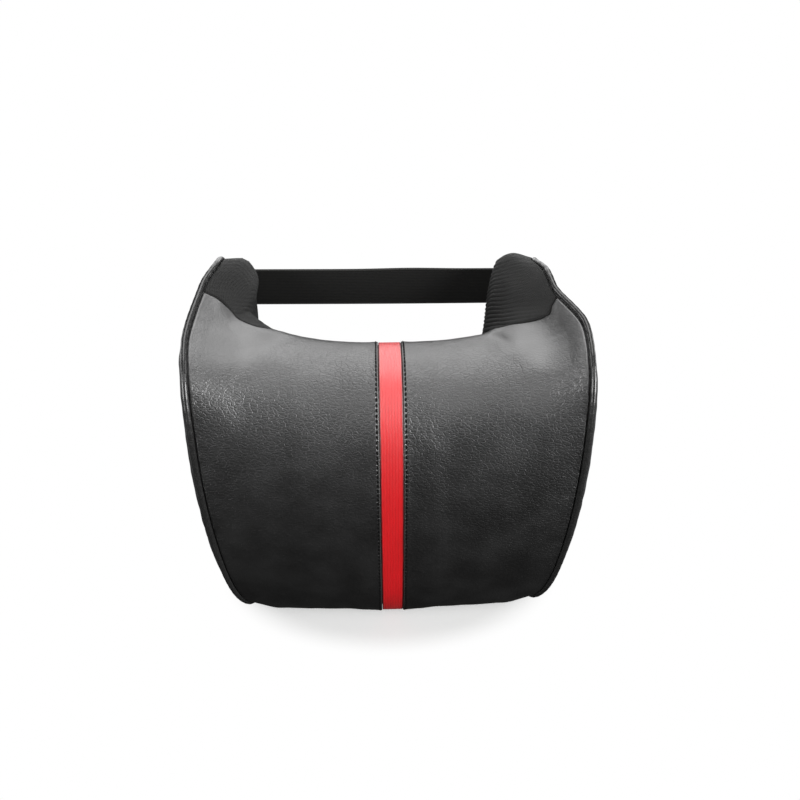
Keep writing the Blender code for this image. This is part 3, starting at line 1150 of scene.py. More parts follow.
@dataclass(frozen=True)
class AirMesh(Finish):
    """Black ribbed air mesh with small open eyelets.

    Attributes:
        thread: The threads' colour.
        eyelet_and_groove_shade: The eyelets' colour, also the painted shade in the rib grooves.
        pitch: The distance from one eyelet to the next, across.
        slant: Waves of the slanting threads along the cloth, for each one across.
        row: Waves of the rows along the cloth, for each eyelet across.
        rib_pitch: The distance from one rib to the next.
        slot: The record's slot.
    """

    thread: Triple = (0.0225, 0.0225, 0.0220)
    eyelet_and_groove_shade: Triple = (0.0020, 0.0020, 0.0020)
    pitch: float = 0.0017
    slant: float = 0.577
    row: float = 1.155
    rib_pitch: float = 0.0031
    slot: Slot = Slot.AIR_MESH

    def make(self) -> bpy.types.Material:
        """Rows of eyelets, each row set half a step aside, between raised threads, with painted
        shade in the rib grooves.
        """
        nodes = Nodes(self.label)
        across, along, rise = nodes.cloth_place()
        turn = 2 * math.pi / self.pitch
        aside = nodes.maths("MULTIPLY", across, turn)
        first, second = (
            nodes.maths("SINE", nodes.maths("MULTIPLY_ADD", along, slant * turn, aside))
            for slant in (self.slant, -self.slant))
        third = nodes.wave(along, self.pitch / self.row)
        web = nodes.maths("ADD", nodes.maths("ADD", first, second), third)
        knit = nodes.spread(web, -1.9, 0.2)
        plain = nodes.object_place()
        fuzz = nodes.noise(plain, scale=1500.0, detail=3.0)
        patch = nodes.noise(plain, scale=30.0)
        # Painted shade in the grooves between the ribs, as strong as the tone share.
        turned = nodes.maths("MULTIPLY", rise, 2 * math.pi / self.rib_pitch)
        crest = nodes.maths("COSINE", turned)
        groove_shade = nodes.maths("MULTIPLY", nodes.spread(crest, -1.0, 0.1, 1.0, 0.0),
                             nodes.tone_share())
        ridge = nodes.maths("SUBTRACT", 1.0, groove_shade)
        shade = nodes.maths("MULTIPLY", knit, nodes.spread(patch, 0.2, 0.8, 0.8, 1.0))
        shade = nodes.maths("MULTIPLY", shade, ridge)
        height = nodes.maths("MULTIPLY_ADD", fuzz, 0.25, knit)
        height = nodes.maths("MULTIPLY", height, nodes.maths("MULTIPLY_ADD", ridge, 0.6, 0.4))
        nodes.set(Base_Color=nodes.mixed(shade, self.eyelet_and_groove_shade, self.thread),
                  Roughness=nodes.spread(fuzz, 0.2, 0.8, 0.62, 0.82),
                  Specular_IOR_Level=0.28, Sheen_Weight=0.05, Sheen_Roughness=0.5,
                  Sheen_Tint=(0.8, 0.8, 0.8, 1.0),
                  Normal=nodes.bumped(height, 0.00035, 0.6))
        return nodes.material


@dataclass(frozen=True)
class BlackElastic(Finish):
    """Flat woven black elastic."""

    thread: Triple = (0.014, 0.014, 0.013)
    gap: Triple = (0.006, 0.006, 0.006)
    edge: Triple = (0.050, 0.050, 0.048)
    warp_pitch: float = 0.0013
    weft_pitch: float = 0.0009
    slot: Slot = Slot.ELASTIC

    def make(self) -> bpy.types.Material:
        """Close lengthwise ribs crossed by a fine weft, lighter on the edges' beads."""
        nodes = Nodes(self.label)
        along, across, _rise = nodes.cloth_place()
        warp = nodes.wave(across, self.warp_pitch)
        weft = nodes.wave(along, self.weft_pitch)
        weave = nodes.spread(nodes.maths("MULTIPLY_ADD", weft, 0.6, warp), -1.6, 1.6)
        fuzz = nodes.noise(nodes.object_place(), scale=1600.0, detail=3.0)
        base = nodes.mixed(weave, self.gap, self.thread)
        nodes.set(Base_Color=nodes.mixed(nodes.tone_share(), base, self.edge),
                  Roughness=nodes.spread(fuzz, 0.2, 0.8, 0.70, 0.85),
                  Specular_IOR_Level=0.3,
                  Normal=nodes.bumped(nodes.maths("MULTIPLY_ADD", fuzz, 0.3, weave),
                                      0.00015, 0.6))
        return nodes.material


@dataclass(frozen=True)
class SewingThread(Finish):
    """Black waxed sewing thread."""

    black: Triple = (0.0015, 0.0015, 0.0015)
    lit: Triple = (0.0060, 0.0060, 0.0060)
    slot: Slot = Slot.LEATHER

    def make(self) -> bpy.types.Material:
        """Twisted strands, with painted highlights where the noise turns towards the lit
        colour.
        """
        nodes = Nodes(self.label)
        twist = nodes.noise(nodes.object_place(), scale=3200.0)
        nodes.set(Base_Color=nodes.mixed(twist, self.black, self.lit),
                  Roughness=nodes.spread(twist, 0.3, 0.7, 0.6, 0.75),
                  Specular_IOR_Level=0.15, Normal=nodes.bumped(twist, 0.0001, 0.5))
        return nodes.material


@dataclass(frozen=True)
class MemoryFoam(Finish):
    """Pale open-celled memory foam."""

    pale: Triple = (0.80, 0.74, 0.56)
    pore: Triple = (0.58, 0.50, 0.34)
    slot: Slot = Slot.FOAM

    def make(self) -> bpy.types.Material:
        """Small round pores of mixed sizes."""
        nodes = Nodes(self.label)
        plain = nodes.object_place()
        large = nodes.spread(nodes.cells(plain, 900.0), 0.0, 0.3)
        small = nodes.noise(plain, scale=2400.0)
        height = nodes.maths("MULTIPLY_ADD", small, 0.4, large)
        nodes.set(Base_Color=nodes.mixed(large, self.pore, self.pale),
                  Roughness=nodes.spread(small, 0.2, 0.8, 0.88, 0.98),
                  Specular_IOR_Level=0.2, Normal=nodes.bumped(height, 0.0004, 0.7))
        return nodes.material


def place_piece(piece: bpy.types.Object, finish: Finish, *nodes: str) -> bpy.types.Object:
    """Dress a piece, let it ride, and let it stand for the part's own nodes.

    Args:
        piece: The piece.
        finish: What it is made of.
        *nodes: The nodes that it stands for.

    Returns:
        The piece.
    """
    finish.dress(piece)
    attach(piece, BODY)
    if nodes:
        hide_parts(*nodes)
    LOG.info("%s: %d faces", piece.name, len(piece.data.polygons))
    return piece


@dataclass
class FrontPanel:
    """One leather front panel, folded beside the stripe and sewn in all round."""

    form: PillowForm
    side: Side
    finish: Finish = field(default_factory=GrainedLeather)
    edge_gap: float = 0.0003
    edge_inset: float = 0.0024
    fold_radius: float = 0.0006
    fold_rise: float = 0.0003
    channel_from: float = 0.0015
    channel_depth: float = 0.0004
    seam_radius: float = 0.0012
    pucker: float = 0.00022
    side_waves: Span = (0.030, 0.009)
    end_waves: Span = (0.026, 0.010)
    body_waves: Span = (0.110, 0.035)
    body_height: float = 0.00018
    seed: int = 11
    dimple: float = 0.0021
    dimple_grows: Span = (0.67, 0.83)
    dimple_fades: Span = (0.84, 0.985)
    dimple_place: float = 8.75
    dimple_reach: float = 0.95
    slack: float = 0.0012
    slack_grows: Span = (0.004, 0.025)
    cloth_share: float = 0.65
    cloth_grows: Span = (0.0030, 0.0200)
    calm_share: float = 0.75
    calm_across: Span = (0.62, 0.78)
    calm_place: Span = (8.0, 8.8)
    step: float = 0.0013

    def build(self) -> bpy.types.Object:
        """Build the panel.

        Returns:
            The piece, which stands for the part's front panel on this side.
        """
        form, sign = self.form, self.side.value
        rows = Spacing(self.step, SEWN_EDGE, SEWN_EDGE)
        places, runs = form.places_by_length(form.floor_seam, form.top_seam, rows)
        width = form.full_half_width - self.edge_inset - self.start
        spans = Spacing(self.step, FOLDED_EDGE, SEWN_EDGE)(width)
        across = self.across(spans, width, form.half_width(places)[:, None])
        place = np.repeat(places[:, None], len(spans), axis=1)
        place = form.seam_drawn(sign * across, place)
        from_fold = np.repeat(spans[None], len(places), axis=0)
        from_side = width - from_fold
        run = np.repeat(runs[:, None], len(spans), axis=1)
        from_ends = np.minimum(run, runs[-1] - run)
        held = np.minimum(from_side, np.minimum(from_ends, from_fold))
        lift = self.lift(from_fold, from_side, from_ends, run)
        lift = lift - self.dip(sign * across, place)
        lift = lift - self.slack * smooth_step(held, *self.slack_grows)
        outer_face = form.surface(sign * across, place, lift)
        calm = 1 - (self.calm_share * smooth_step(across, *self.calm_across)
                    * smooth_step(place, *self.calm_place))
        calm = self.cloth_share * calm * smooth_step(held, *self.cloth_grows)
        outer_face = outer_face + Inflated(4).moves(outer_face) * calm[..., None]
        outer_face[..., 2] = np.maximum(outer_face[..., 2], 0.0)
        inner_face = form.surface(sign * across, place, -form.skin + 0.5 * np.minimum(lift, 0))
        # Painted highlight on the crest of the folded edge beside the stripe.
        tone_share = 0.7 * hump(from_fold, 0.0005, 0.0005)
        piece = MeshMaker.sheet(f"front_leather_{self.side.ending}", outer_face, inner_face,
                                places=np.stack((from_fold, run, self.grain(run, from_side)),
                                                axis=-1), tone_share=tone_share)
        place_piece(piece, self.finish, f"front_panel_{self.side.ending}")
        return piece

    @property
    def start(self) -> float:
        """The distance from the middle to the fold."""
        return self.form.stripe_width / 2 + self.edge_gap

    def across(self, spans: Array, width: float, half: Array) -> Array:
        """Places across for distances from the fold, true to size near both edges.

        Args:
            spans: Distances from the fold.
            width: The panel's full width.
            half: The distance from the middle to the side seam on each row.

        Returns:
            The places, rows by columns.
        """
        inner, outer = self.start / half, 1 - self.edge_inset / half
        share = spans / width
        near = inner + np.minimum(spans, width / 2) / half
        far = outer - np.minimum(width - spans, width / 2) / half
        middle = near * (1 - share) + far * share
        return np.where(share < 0.1, near, np.where(share > 0.9, far, middle))

    def dip(self, across: Array, place: Array) -> Array:
        """How deep the dimple below the right wing's tip is."""
        dip = smooth_step(across, *self.dimple_grows) * (
            1 - smooth_step(across, *self.dimple_fades))
        return self.dimple * dip * hump(place, self.dimple_place, self.dimple_reach)

    @staticmethod
    def grain(run: Array, from_side: Array) -> Array:
        """How deep the grain is: stretched nearly smooth at the top and on the wing."""
        down = run.max() - run
        wing = 1 - smooth_step(from_side, 0.010, 0.060)
        return 0.30 + 0.70 * smooth_step(down, 0.004 + 0.040 * wing, 0.024 + 0.060 * wing)

    def lift(self, from_fold: Array, from_side: Array, from_ends: Array,
             run: Array) -> Array:
        """How far the leather stands above the plain form.

        Args:
            from_fold: Distance from the folded edge beside the stripe.
            from_side: Distance from the side seam.
            from_ends: Distance from the nearer of the top and the floor seams.
            run: Distance along the panel from the floor seam.

        Returns:
            The heights.
        """
        sign = self.side.value
        seed = self.seed + sign
        rise = self.fold_rise * (1 - smooth_step(from_fold, 0.0015, 0.0060))
        fold = rise - rolled(from_fold, self.fold_radius)
        channel = self.channel_depth * hump(from_fold, self.channel_from, 0.0005)
        side_roll = rolled(from_side, self.seam_radius)
        end_roll = rolled(from_ends, self.seam_radius * 0.8)
        along_side = Ripple(*self.side_waves, seed).along(run)
        along_end = Ripple(*self.end_waves, seed + 20).along(from_fold)
        side_pull = (1 - np.exp(-from_side / 0.0015)) * np.exp(-from_side / 0.008)
        end_pull = (1 - np.exp(-from_ends / 0.0015)) * np.exp(-from_ends / 0.007)
        puckers = self.pucker * (along_side * side_pull + 0.6 * along_end * end_pull)
        body = Ripple(*self.body_waves, seed + 40, self.body_height)
        body = body.over(sign * from_fold, run)
        body = body * smooth_step(from_fold, 0.004, 0.030) * smooth_step(from_side, 0.0, 0.060)
        return fold - channel - side_roll - end_roll + puckers + body


@dataclass
class CentreStripe:
    """The red ribbed stripe, set a little below the folded leather edges."""

    form: PillowForm
    finish: Finish = field(default_factory=RibbedRed)
    ribs: int = 8
    rib_height: float = 0.00007
    sunk: float = 0.0003
    end_radius: float = 0.0012
    edge_radius: float = 0.0005
    wander: Ripple = Ripple(0.09, 0.02, 5, 0.00012)
    step: float = 0.0012

    def build(self) -> bpy.types.Object:
        """Build the stripe.

        Returns:
            The piece, which stands for the part's stripe.
        """
        form = self.form
        rows = Spacing(self.step, SEWN_EDGE[:5], SEWN_EDGE[:5])
        places, runs = form.places_by_length(form.floor_seam, form.top_seam, rows, 0.0)
        columns = self.ribs * 8
        spans = np.linspace(-form.stripe_width / 2, form.stripe_width / 2, columns + 1)
        across = spans[None] / form.half_width(places)[:, None]
        place = np.repeat(places[:, None], len(spans), axis=1)
        run = np.repeat(runs[:, None], len(spans), axis=1)
        wander = self.wander.along(run)
        pitch = form.stripe_width / self.ribs
        rib = np.abs(np.sin(math.pi * (spans[None] + wander + form.stripe_width / 2) / pitch))
        from_ends = np.minimum(run, runs[-1] - run)
        from_edge = form.stripe_width / 2 - np.abs(spans)[None] + 0 * run
        lift = (self.rib_height * rib - self.sunk - rolled(from_ends, self.end_radius)
                - rolled(from_edge, self.edge_radius))
        outer = form.surface(across, place, lift)
        inner = form.surface(across, place, -form.skin)
        # The rib profile also sets the painted shade in the grooves between the ribs.
        piece = MeshMaker.sheet("red_centre_stripe", outer, inner,
                                places=np.stack((spans[None] + wander, run), axis=-1),
                                tone_share=rib)
        return place_piece(piece, self.finish, "centre_stripe")


@dataclass
class Topstitch:
    """A row of stitches in the channel beside the stripe."""

    form: PillowForm
    side: Side
    finish: Finish = field(default_factory=SewingThread)
    from_edge: float = 0.0018
    pitch: float = 0.0036
    length: float = 0.0027
    radius: float = 0.00045
    rise: float = 0.00025
    sink: float = 0.0006
    slant: float = 0.00012
    end_gap: float = 0.06

    def build(self) -> bpy.types.Object:
        """Build the row.

        Returns:
            The piece.
        """
        form, sign = self.form, self.side.value
        rows = Spacing(self.pitch, group=1)
        start, end = form.floor_seam + self.end_gap, form.top_seam - self.end_gap
        x = form.stripe_width / 2 + self.from_edge
        places, _runs = form.places_by_length(start, end, rows, 0.07)
        share = self.length / self.pitch
        lift = self.rise - self.sink * STITCH_STEPS ** 4
        aside = x + self.slant * STITCH_STEPS
        parts = []
        for first, second in zip(places[:-1], places[1:]):
            run = (first + second) / 2 + STITCH_STEPS * (second - first) * share / 2
            line = form.surface(sign * aside / form.half_width(run), run, lift)
            line[:, 2] = np.maximum(line[:, 2], self.radius)
            parts.append(MeshMaker.stitch(line, self.radius, (1.0, 0.0, 0.0)))
        piece = MeshMaker.bodies(f"topstitch_{self.side.ending}", parts)
        return place_piece(piece, self.finish)


@dataclass
class Piping:
    """The glossy piping in one side seam."""

    form: PillowForm
    side: Side
    finish: Finish = field(default_factory=GlossPiping)
    count: int = 560
    waist: float = 0.03
    waists: int = 90

    def build(self) -> bpy.types.Object:
        """Build the piping.

        Returns:
            The piece, which stands for the part's piping on this side.
        """
        form, sign = self.form, self.side.value
        places = np.linspace(0, form.corner_count, self.count, endpoint=False)
        line = form.settling.moved(form.cover(float(sign), places))
        steps = np.linalg.norm(np.roll(line, -1, axis=0) - line, axis=1)
        run = np.concatenate(((0.0,), np.cumsum(steps)[:-1]))
        turn = run * 2 * math.pi / steps.sum() * self.waists
        radius = form.piping_radius * (1 + self.waist * np.sin(turn))
        aside = np.tile(np.array((float(sign), 0.0, 0.0)), (self.count, 1))
        piece = MeshMaker.tube(f"piping_cord_{self.side.ending}", line, radius, aside)
        return place_piece(piece, self.finish, f"piping_{self.side.ending}")


@dataclass
class SidePanel:
    """The swollen leather panel on one side."""

    form: PillowForm
    side: Side
    finish: Finish = field(default_factory=GrainedLeather)
    count: int = 400
    rings: int = 34
    edge_shares: tuple[float, ...] = (0, 0.003, 0.008, 0.014, 0.022, 0.034)
    inner_shares: Span = (0.95, 0.04)
    seam_radius: float = 0.0018
    pucker: float = 0.00035
    pucker_seed: int = 70
    body_height: float = 0.0005
    body_seed: int = 80

    def build(self) -> bpy.types.Object:
        """Build the panel.

        Returns:
            The piece, which stands for the part's side panel on this side.
        """
        outer, hub = self.faces(0.0)
        inner, inner_hub = self.faces(self.form.skin)
        piece = MeshMaker.disc(f"side_leather_{self.side.ending}", outer, inner,
                               (hub, inner_hub))
        place_piece(piece, self.finish, f"side_panel_{self.side.ending}")
        return piece

    def faces(self, depth: float) -> tuple[Array, Array]:
        """Rings of points from the piping to the middle of the side.

        Args:
            depth: How deep the rings lie under the outer face.

        Returns:
            The rings, and the middle point.
        """
        form, sign = self.form, self.side.value
        places = np.linspace(0, form.corner_count, self.count, endpoint=False)
        seam = form.cover(float(sign), places)
        centre = seam.mean(axis=0)
        along = np.roll(seam, -1, axis=0) - np.roll(seam, 1, axis=0)
        square = MeshMaker.directions(
            np.stack((0 * along[:, 0], -along[:, 2], along[:, 1]), axis=1))
        square *= np.sign((square * (centre - seam)).sum(axis=1, keepdims=True))
        edge = seam + square * (form.piping_radius + form.skin_gap)
        shares = np.concatenate((1 - np.array(self.edge_shares),
                                 np.linspace(*self.inner_shares, self.rings)))
        points = centre + (edge - centre)[None] * shares[:, None, None]
        reach = np.linalg.norm((seam - centre)[:, 1:], axis=1)
        run = np.linalg.norm((points - centre)[..., 1:], axis=2)
        share = np.minimum((run + depth) / reach, 1.0)
        flat = form.full_half_width + (np.abs(seam[:, 0]) - form.full_half_width) * share ** 2
        swell = form.side_bulge * (1 - share ** form.side_fullness)
        from_edge = np.linalg.norm((edge - centre)[:, 1:], axis=1)[None] - run
        lengths = np.linalg.norm(np.roll(seam, -1, axis=0) - seam, axis=1)
        around = np.concatenate(((0.0,), np.cumsum(lengths)[:-1]))[None]
        pull = (1 - np.exp(-from_edge / 0.0015)) * np.exp(-from_edge / 0.010)
        puckers = Ripple(0.034, 0.010, self.pucker_seed + sign, self.pucker)
        body = Ripple(0.10, 0.04, self.body_seed + sign, self.body_height)
        detail = puckers.along(around) * pull
        detail = detail + body.over(points[..., 1], points[..., 2]) * smooth_step(
            from_edge, 0.0, 0.02)
        detail = detail - 0.6 * rolled(from_edge, self.seam_radius)
        points[..., 0] = sign * (flat + swell - depth + detail)
        middle = np.array((points[-1, :, 0].mean(), *centre[1:]))
        return form.settling.moved(points), form.settling.moved(middle[None])[0]


@dataclass(frozen=True)
class Crown:
    """A soft swelling of the mesh on top of a wing.

    Attributes:
        height: How far it stands out.
        across: Its middle, from one side seam to the other.
        width: Its width, in places across.
        place: Its middle along the section.
        length: Its length along the section.
    """

    height: float
    across: float
    width: float
    place: float
    length: float

    def over(self, across: Array, place: Array) -> Array:
        """How far it stands out at places on the back."""
        return (self.height * hump(across, self.across, self.width)
                * hump(place, self.place, self.length))


@dataclass
class BackPanel:
    """The air-mesh panel over the wings' tops and the back."""

    form: PillowForm
    strap: "ElasticStrap"
    finish: Finish = field(default_factory=AirMesh)
    edge_inset: float = 0.0024
    seam_radius: float = 0.0012
    end_radius: float = 0.0022
    rib_pitch: float = 0.0031
    rib_height: float = 0.00125
    rib_least: float = 0.20
    rib_wander: Ripple = Ripple(0.09, 0.02, 90, 0.0005)
    body: Ripple = Ripple(0.10, 0.03, 95, 0.0008)
    crowns: tuple[Crown, ...] = (
        Crown(0.0062, 0.83, 0.14, 11.3, 0.9), Crown(0.0016, -0.87, 0.09, 11.0, 0.9))
    row_step: float = 0.0009
    column_steps: tuple[tuple[float, float], ...] = (
        (-1.0, 0.0020), (-0.64, 0.0020), (-0.58, 0.0045), (0.38, 0.0045), (0.46, 0.0008),
        (0.74, 0.0008), (0.80, 0.0018), (1.0, 0.0018))

    def columns(self) -> Array:
        """Places across the back, close together over the wings and at the edges."""
        form = self.form
        edge = 1 - self.edge_inset / form.tip_half_width
        near = edge - np.array(SEWN_EDGE[:5]) / form.tip_half_width
        last = edge - SEWN_EDGE[5] / form.tip_half_width
        fine = np.linspace(-last, last, 5000)
        lengths = np.linalg.norm(np.diff(form.cover(fine, 12.0), axis=0), axis=1)
        steps = np.interp(fine[1:], *np.transpose(self.column_steps))
        count = np.concatenate(((0.0,), np.cumsum(lengths / steps)))
        whole = 4 * round((count[-1] - 2 * len(near)) / 4) + 2 * (len(near) % 2)
        middle = np.interp(np.linspace(0.0, count[-1], whole + 1), count, fine)
        return np.concatenate((-near, middle, near[::-1]))

    def build(self) -> bpy.types.Object:
        """Build the panel.

        Returns:
            The piece, which stands for the part's back panel.
        """
        form = self.form
        across = self.columns()
        rows = Spacing(self.row_step, SEWN_EDGE[:5], SEWN_EDGE[:5])
        end = form.corner_count + form.floor_seam
        places, runs = form.places_by_length(form.top_seam, end, rows, 0.80)
        scale = (1 - self.edge_inset / form.half_width(places)) / across[-1]
        u = across[None] * scale[:, None]
        place = np.repeat(places[:, None], len(across), axis=1)
        run = np.repeat(runs[:, None], len(across), axis=1)
        place = form.seam_drawn(u, place)
        flat = form.cover(u, place)
        lengths = np.linalg.norm(np.diff(flat, axis=1), axis=2)
        spans = np.concatenate((np.zeros((len(places), 1)), np.cumsum(lengths, axis=1)), axis=1)
        from_side = np.minimum(spans, spans[:, -1:] - spans)
        spans = spans - spans[:, -1:] / 2
        from_ends = np.minimum(run, runs[-1] - run)
        rise = self.rib_run(form.settling.moved(flat), spans, run)
        strength = self.rib_strength(u, place)
        lift = self.lift(u, place, rise, spans, run, from_side, from_ends)
        outer = form.surface(u, place, lift)
        outer = self.strap.pressed(outer + Inflated(8).moves(outer))
        outer[..., 2] = np.maximum(outer[..., 2], 0.0)
        inner = form.surface(u, place, -form.skin + np.minimum(lift, 0) * 0.4)
        piece = MeshMaker.sheet("air_mesh_back", outer, inner,
                                places=np.stack((spans, run, rise), axis=-1), tone_share=strength)
        place_piece(piece, self.finish, "back_panel")
        return piece

    def rib_run(self, points: Array, span: Array, run: Array) -> Array:
        """The distance square to the ribs, which run level round the lobes.

        Args:
            points: Points of the plain form.
            span: Distance from the middle.
            run: Distance from the top seam.

        Returns:
            The distances, with a slight wander.
        """
        return (0.853 * points[..., 2] + 0.522 * points[..., 1]
                + self.rib_wander.over(span, run))

    def rib_strength(self, across: Array, place: Array) -> Array:
        """How plain the ribs are, in relief and in the painted shade of their grooves: most on
        the right lobe's inner wall.
        """
        wall = smooth_step(across, 0.40, 0.54) * (1 - smooth_step(across, 0.62, 0.78))
        wall = wall * (1 - smooth_step(place, 11.9, 13.9))
        return self.rib_least + (1 - self.rib_least) * wall

    def lift(self, across: Array, place: Array, rise: Array, span: Array, run: Array,
             from_side: Array, from_ends: Array) -> Array:
        """How far the mesh stands above the plain form.

        Args:
            across: Places from one side seam to the other.
            place: Places along the section.
            rise: Distance square to the ribs.
            span: Distance from the middle.
            run: Distance from the top seam.
            from_side: Distance from the nearer side seam.
            from_ends: Distance from the nearer of the top and the floor seams.

        Returns:
            The heights.
        """
        rib = (0.5 + 0.5 * np.cos(2 * math.pi * rise / self.rib_pitch)) ** 0.6
        strength = self.rib_strength(across, place)
        lift = self.rib_height * (rib - 1) * strength * smooth_step(from_ends, 0.0, 0.004)
        lift = lift * smooth_step(from_side, 0.0, 0.006)
        for crown in self.crowns:
            lift = lift + crown.over(across, place)
        held = smooth_step(np.minimum(from_side, from_ends), 0.0, 0.02)
        lift = lift + self.body.over(span, run) * held
        return lift - rolled(from_side, self.seam_radius) - rolled(from_ends, self.end_radius)


@dataclass
class FoamCore:
    """The foam core inside the cover."""

    form: PillowForm
    finish: Finish = field(default_factory=MemoryFoam)
    around: int = 160
    stations: int = 60
    slack: float = 0.0016
    wall_slack: float = 0.028
    end: float = 0.965
    caps: tuple[Span, ...] = ((0.97, 0.0030), (0.92, 0.0055), (0.84, 0.0065),
                              (0.70, 0.0070), (0.50, 0.0072), (0.25, 0.0073))

    def build(self) -> bpy.types.Object:
        """Build the core.

        Returns:
            The piece, which stands for the part's core.
        """
        form = self.form
        rings = form.settling.moved(self.rings())
        ends = []
        for sign, ring in ((-1, rings[0]), (1, rings[-1])):
            centre = ring.mean(axis=0)
            caps = []
            for share, push in self.caps:
                cap = centre + (ring - centre) * share
                cap[:, 0] = ring[:, 0] * share + centre[0] * (1 - share) + sign * push
                caps.append(cap)
            ends.append(np.array(caps))
        body = MeshMaker.capped(np.concatenate((ends[0][::-1], rings, ends[1])))
        piece = MeshMaker.finish_mesh("memory_foam_core", *body)
        place_piece(piece, self.finish, "foam_core")
        return piece

    def rings(self) -> Array:
        """Sections of the core from side to side, each a little smaller than the cover's.

        Returns:
            An array of points, with one ring to a row.
        """
        form = self.form
        places = np.linspace(0, form.corner_count, self.around, endpoint=False)[None]
        outs = np.linspace(-self.end, self.end, 2 * self.stations + 1)[:, None]
        nearer = np.sign(outs) * np.maximum(np.abs(outs) - self.wall_slack, 0.0)
        rings = form.cover(nearer, places)
        rings[..., 0] = outs * form.half_width(places)
        depth = form.skin + form.core_gap + self.slack
        for axis in (1, 2):
            low, high = (reach(rings[..., axis], axis=1, keepdims=True)
                         for reach in (np.min, np.max))
            share = 1 - 2 * depth / (high - low)
            rings[..., axis] = (low + high) / 2 + (rings[..., axis] - (low + high) / 2) * share
        return rings


@dataclass
class ElasticStrap:
    """The flat elastic across the backs of the wings."""

    form: PillowForm
    finish: Finish = field(default_factory=BlackElastic)
    width: float = 0.030
    thickness: float = 0.0015
    drop: float = 0.020
    end_inset: float = 0.0045
    bead: float = 0.0009
    bead_height: float = 0.00018
    edge_radius: float = 0.0008
    warp_pitch: float = 0.0013
    warp_height: float = 0.00009
    sway: float = 0.0006
    end_bend: float = 0.0014
    bend_from: float = 0.110
    trim: float = 0.0020
    rise: float = 0.0008
    step: float = 0.0012

    @property
    def length(self) -> float:
        """The strap's length."""
        return 2 * (self.form.tip_half_width - self.end_inset)

    def middle_y(self, x: Array) -> Array:
        """How far back the middle of its thickness lies, bent in a little at the ends."""
        form = self.form
        flat = form.wing_depth + form.skin_gap + self.thickness / 2 - form.middle_y
        sway = self.sway * np.cos(math.pi * x / self.length) ** 2
        bend = self.end_bend * smooth_step(np.abs(x), self.bend_from, self.length / 2)
        return flat - sway - bend

    def top_z(self, x: Array) -> Array:
        """How high its top edge lies, a little lower towards the right."""
        return self.form.wing_height - self.drop + 0.0014 - 0.0016 * x / self.length

    def pressed(self, points: Array) -> Array:
        """Press the mesh in where it would stand through the strap.

        Args:
            points: The mesh's outer points.

        Returns:
            The points, none of them behind the strap's front face.
        """
        x, y, z = (points[..., axis] for axis in range(3))
        below = self.top_z(x) - z
        under = smooth_step(below, -0.005, 0.0) * (
            1 - smooth_step(below, self.width, self.width + 0.005))
        under = under * (1 - smooth_step(np.abs(x), self.length / 2, self.length / 2 + 0.003))
        over = np.clip(y - self.middle_y(x) + self.thickness / 2 + 0.0004, 0.0, None)
        moved = points.copy()
        moved[..., 1] = y - over * under
        return moved

    def build(self) -> bpy.types.Object:
        """Build the strap.

        Returns:
            The piece, which stands for the part's strap.
        """
        columns = int(4 * round(self.length / self.step / 4))
        x = np.linspace(-self.length / 2, self.length / 2 - self.trim, columns + 1)
        edge = np.array((0.0, 0.1, 0.3, 0.6, 0.9, 1.3, 1.8)) * MM
        inner = np.linspace(2.4 * MM, self.width - 2.4 * MM, 47)
        v = np.concatenate((edge, inner, self.width - edge[::-1]))
        from_edge = np.minimum(v, self.width - v)
        half = self.thickness / 2
        round_edge = np.clip(self.edge_radius - from_edge, 0, None) / self.edge_radius
        profile = half * np.sqrt(np.clip(1 - round_edge ** 2, 0.0, 1.0))
        profile = profile + self.bead_height * hump(from_edge, self.bead, 0.0005)
        warp = self.warp_height * np.sin(2 * math.pi * v / self.warp_pitch)
        warp = warp * smooth_step(from_edge, 0.001, 0.002)
        arch = self.rise * hump(x, 0.018, 0.030)
        z = self.top_z(x)[None] - v[:, None] + arch[None] * (1 - v[:, None] / self.width)
        y = self.middle_y(x)[None] + 0 * z
        near = -(profile + warp)[:, None]
        front = np.stack((x[None] + 0 * z, y + near, z), axis=-1)
        back = np.stack((x[None] + 0 * z, y - near, z), axis=-1)
        tone_share = np.repeat(hump(from_edge, 0.0006, 0.0005)[:, None], len(x), axis=1)
        places = np.stack((x[None] + 0 * z, v[:, None] + 0 * z), axis=-1)
        piece = MeshMaker.sheet("elastic_headrest_strap", front, back, group=1,
                                places=places, tone_share=tone_share)
        place_piece(piece, self.finish, "elastic_strap")
        return piece


@dataclass
class StrapStitching:
    """The thread that holds the strap's ends, sewn in a box at each end."""

    strap: ElasticStrap
    finish: Finish = field(default_factory=SewingThread)
    inset: float = 0.0030
    box: float = 0.0100
    pitch: float = 0.0030
    length: float = 0.0023
    radius: float = 0.00034
    rise: float = 0.0001
    sink: float = 0.0005

    def build(self) -> bpy.types.Object:
        """Build the stitches of both ends.

        Returns:
            The piece.
        """
        strap, parts = self.strap, []
        outer = strap.length / 2 - self.inset
        inner = outer - self.box
        high, low = self.inset, strap.width - self.inset
        corners = ((outer, high), (outer, low), (inner, low), (inner, high), (outer, high))
        for side in Side:
            for start, end in zip(corners[:-1], corners[1:]):
                count = round(math.dist(start, end) / self.pitch)
                for number in range(count):
                    parts.append(self.stitch(side, start, end, (number + 0.5) / count))
        return place_piece(MeshMaker.bodies("strap_stitching", parts), self.finish)

    def stitch(self, side: Side, start: tuple[float, float], end: tuple[float, float],
               share: float) -> tuple[Array, Faces]:
        """One stitch of a row.

        Args:
            side: The end of the strap that it is on.
            start: Where the row starts: across from the middle, and down from the top edge.
            end: Where the row ends.
            share: How far along the row the stitch is.

        Returns:
            Its points and faces.
        """
        reach = self.length / 2 / math.dist(start, end)
        across, down = (a + (b - a) * (share + reach * STITCH_STEPS)
                        for a, b in zip(start, end))
        x = side.value * across - (self.strap.trim if side is Side.RIGHT else 0.0)
        y = self.strap.middle_y(x) + self.strap.thickness / 2
        y = y + self.rise - self.sink * STITCH_STEPS ** 4
        line = np.stack((x, y, self.strap.top_z(x) - down), axis=1)
        return MeshMaker.stitch(line, self.radius, (0.0, 1.0, 0.0))


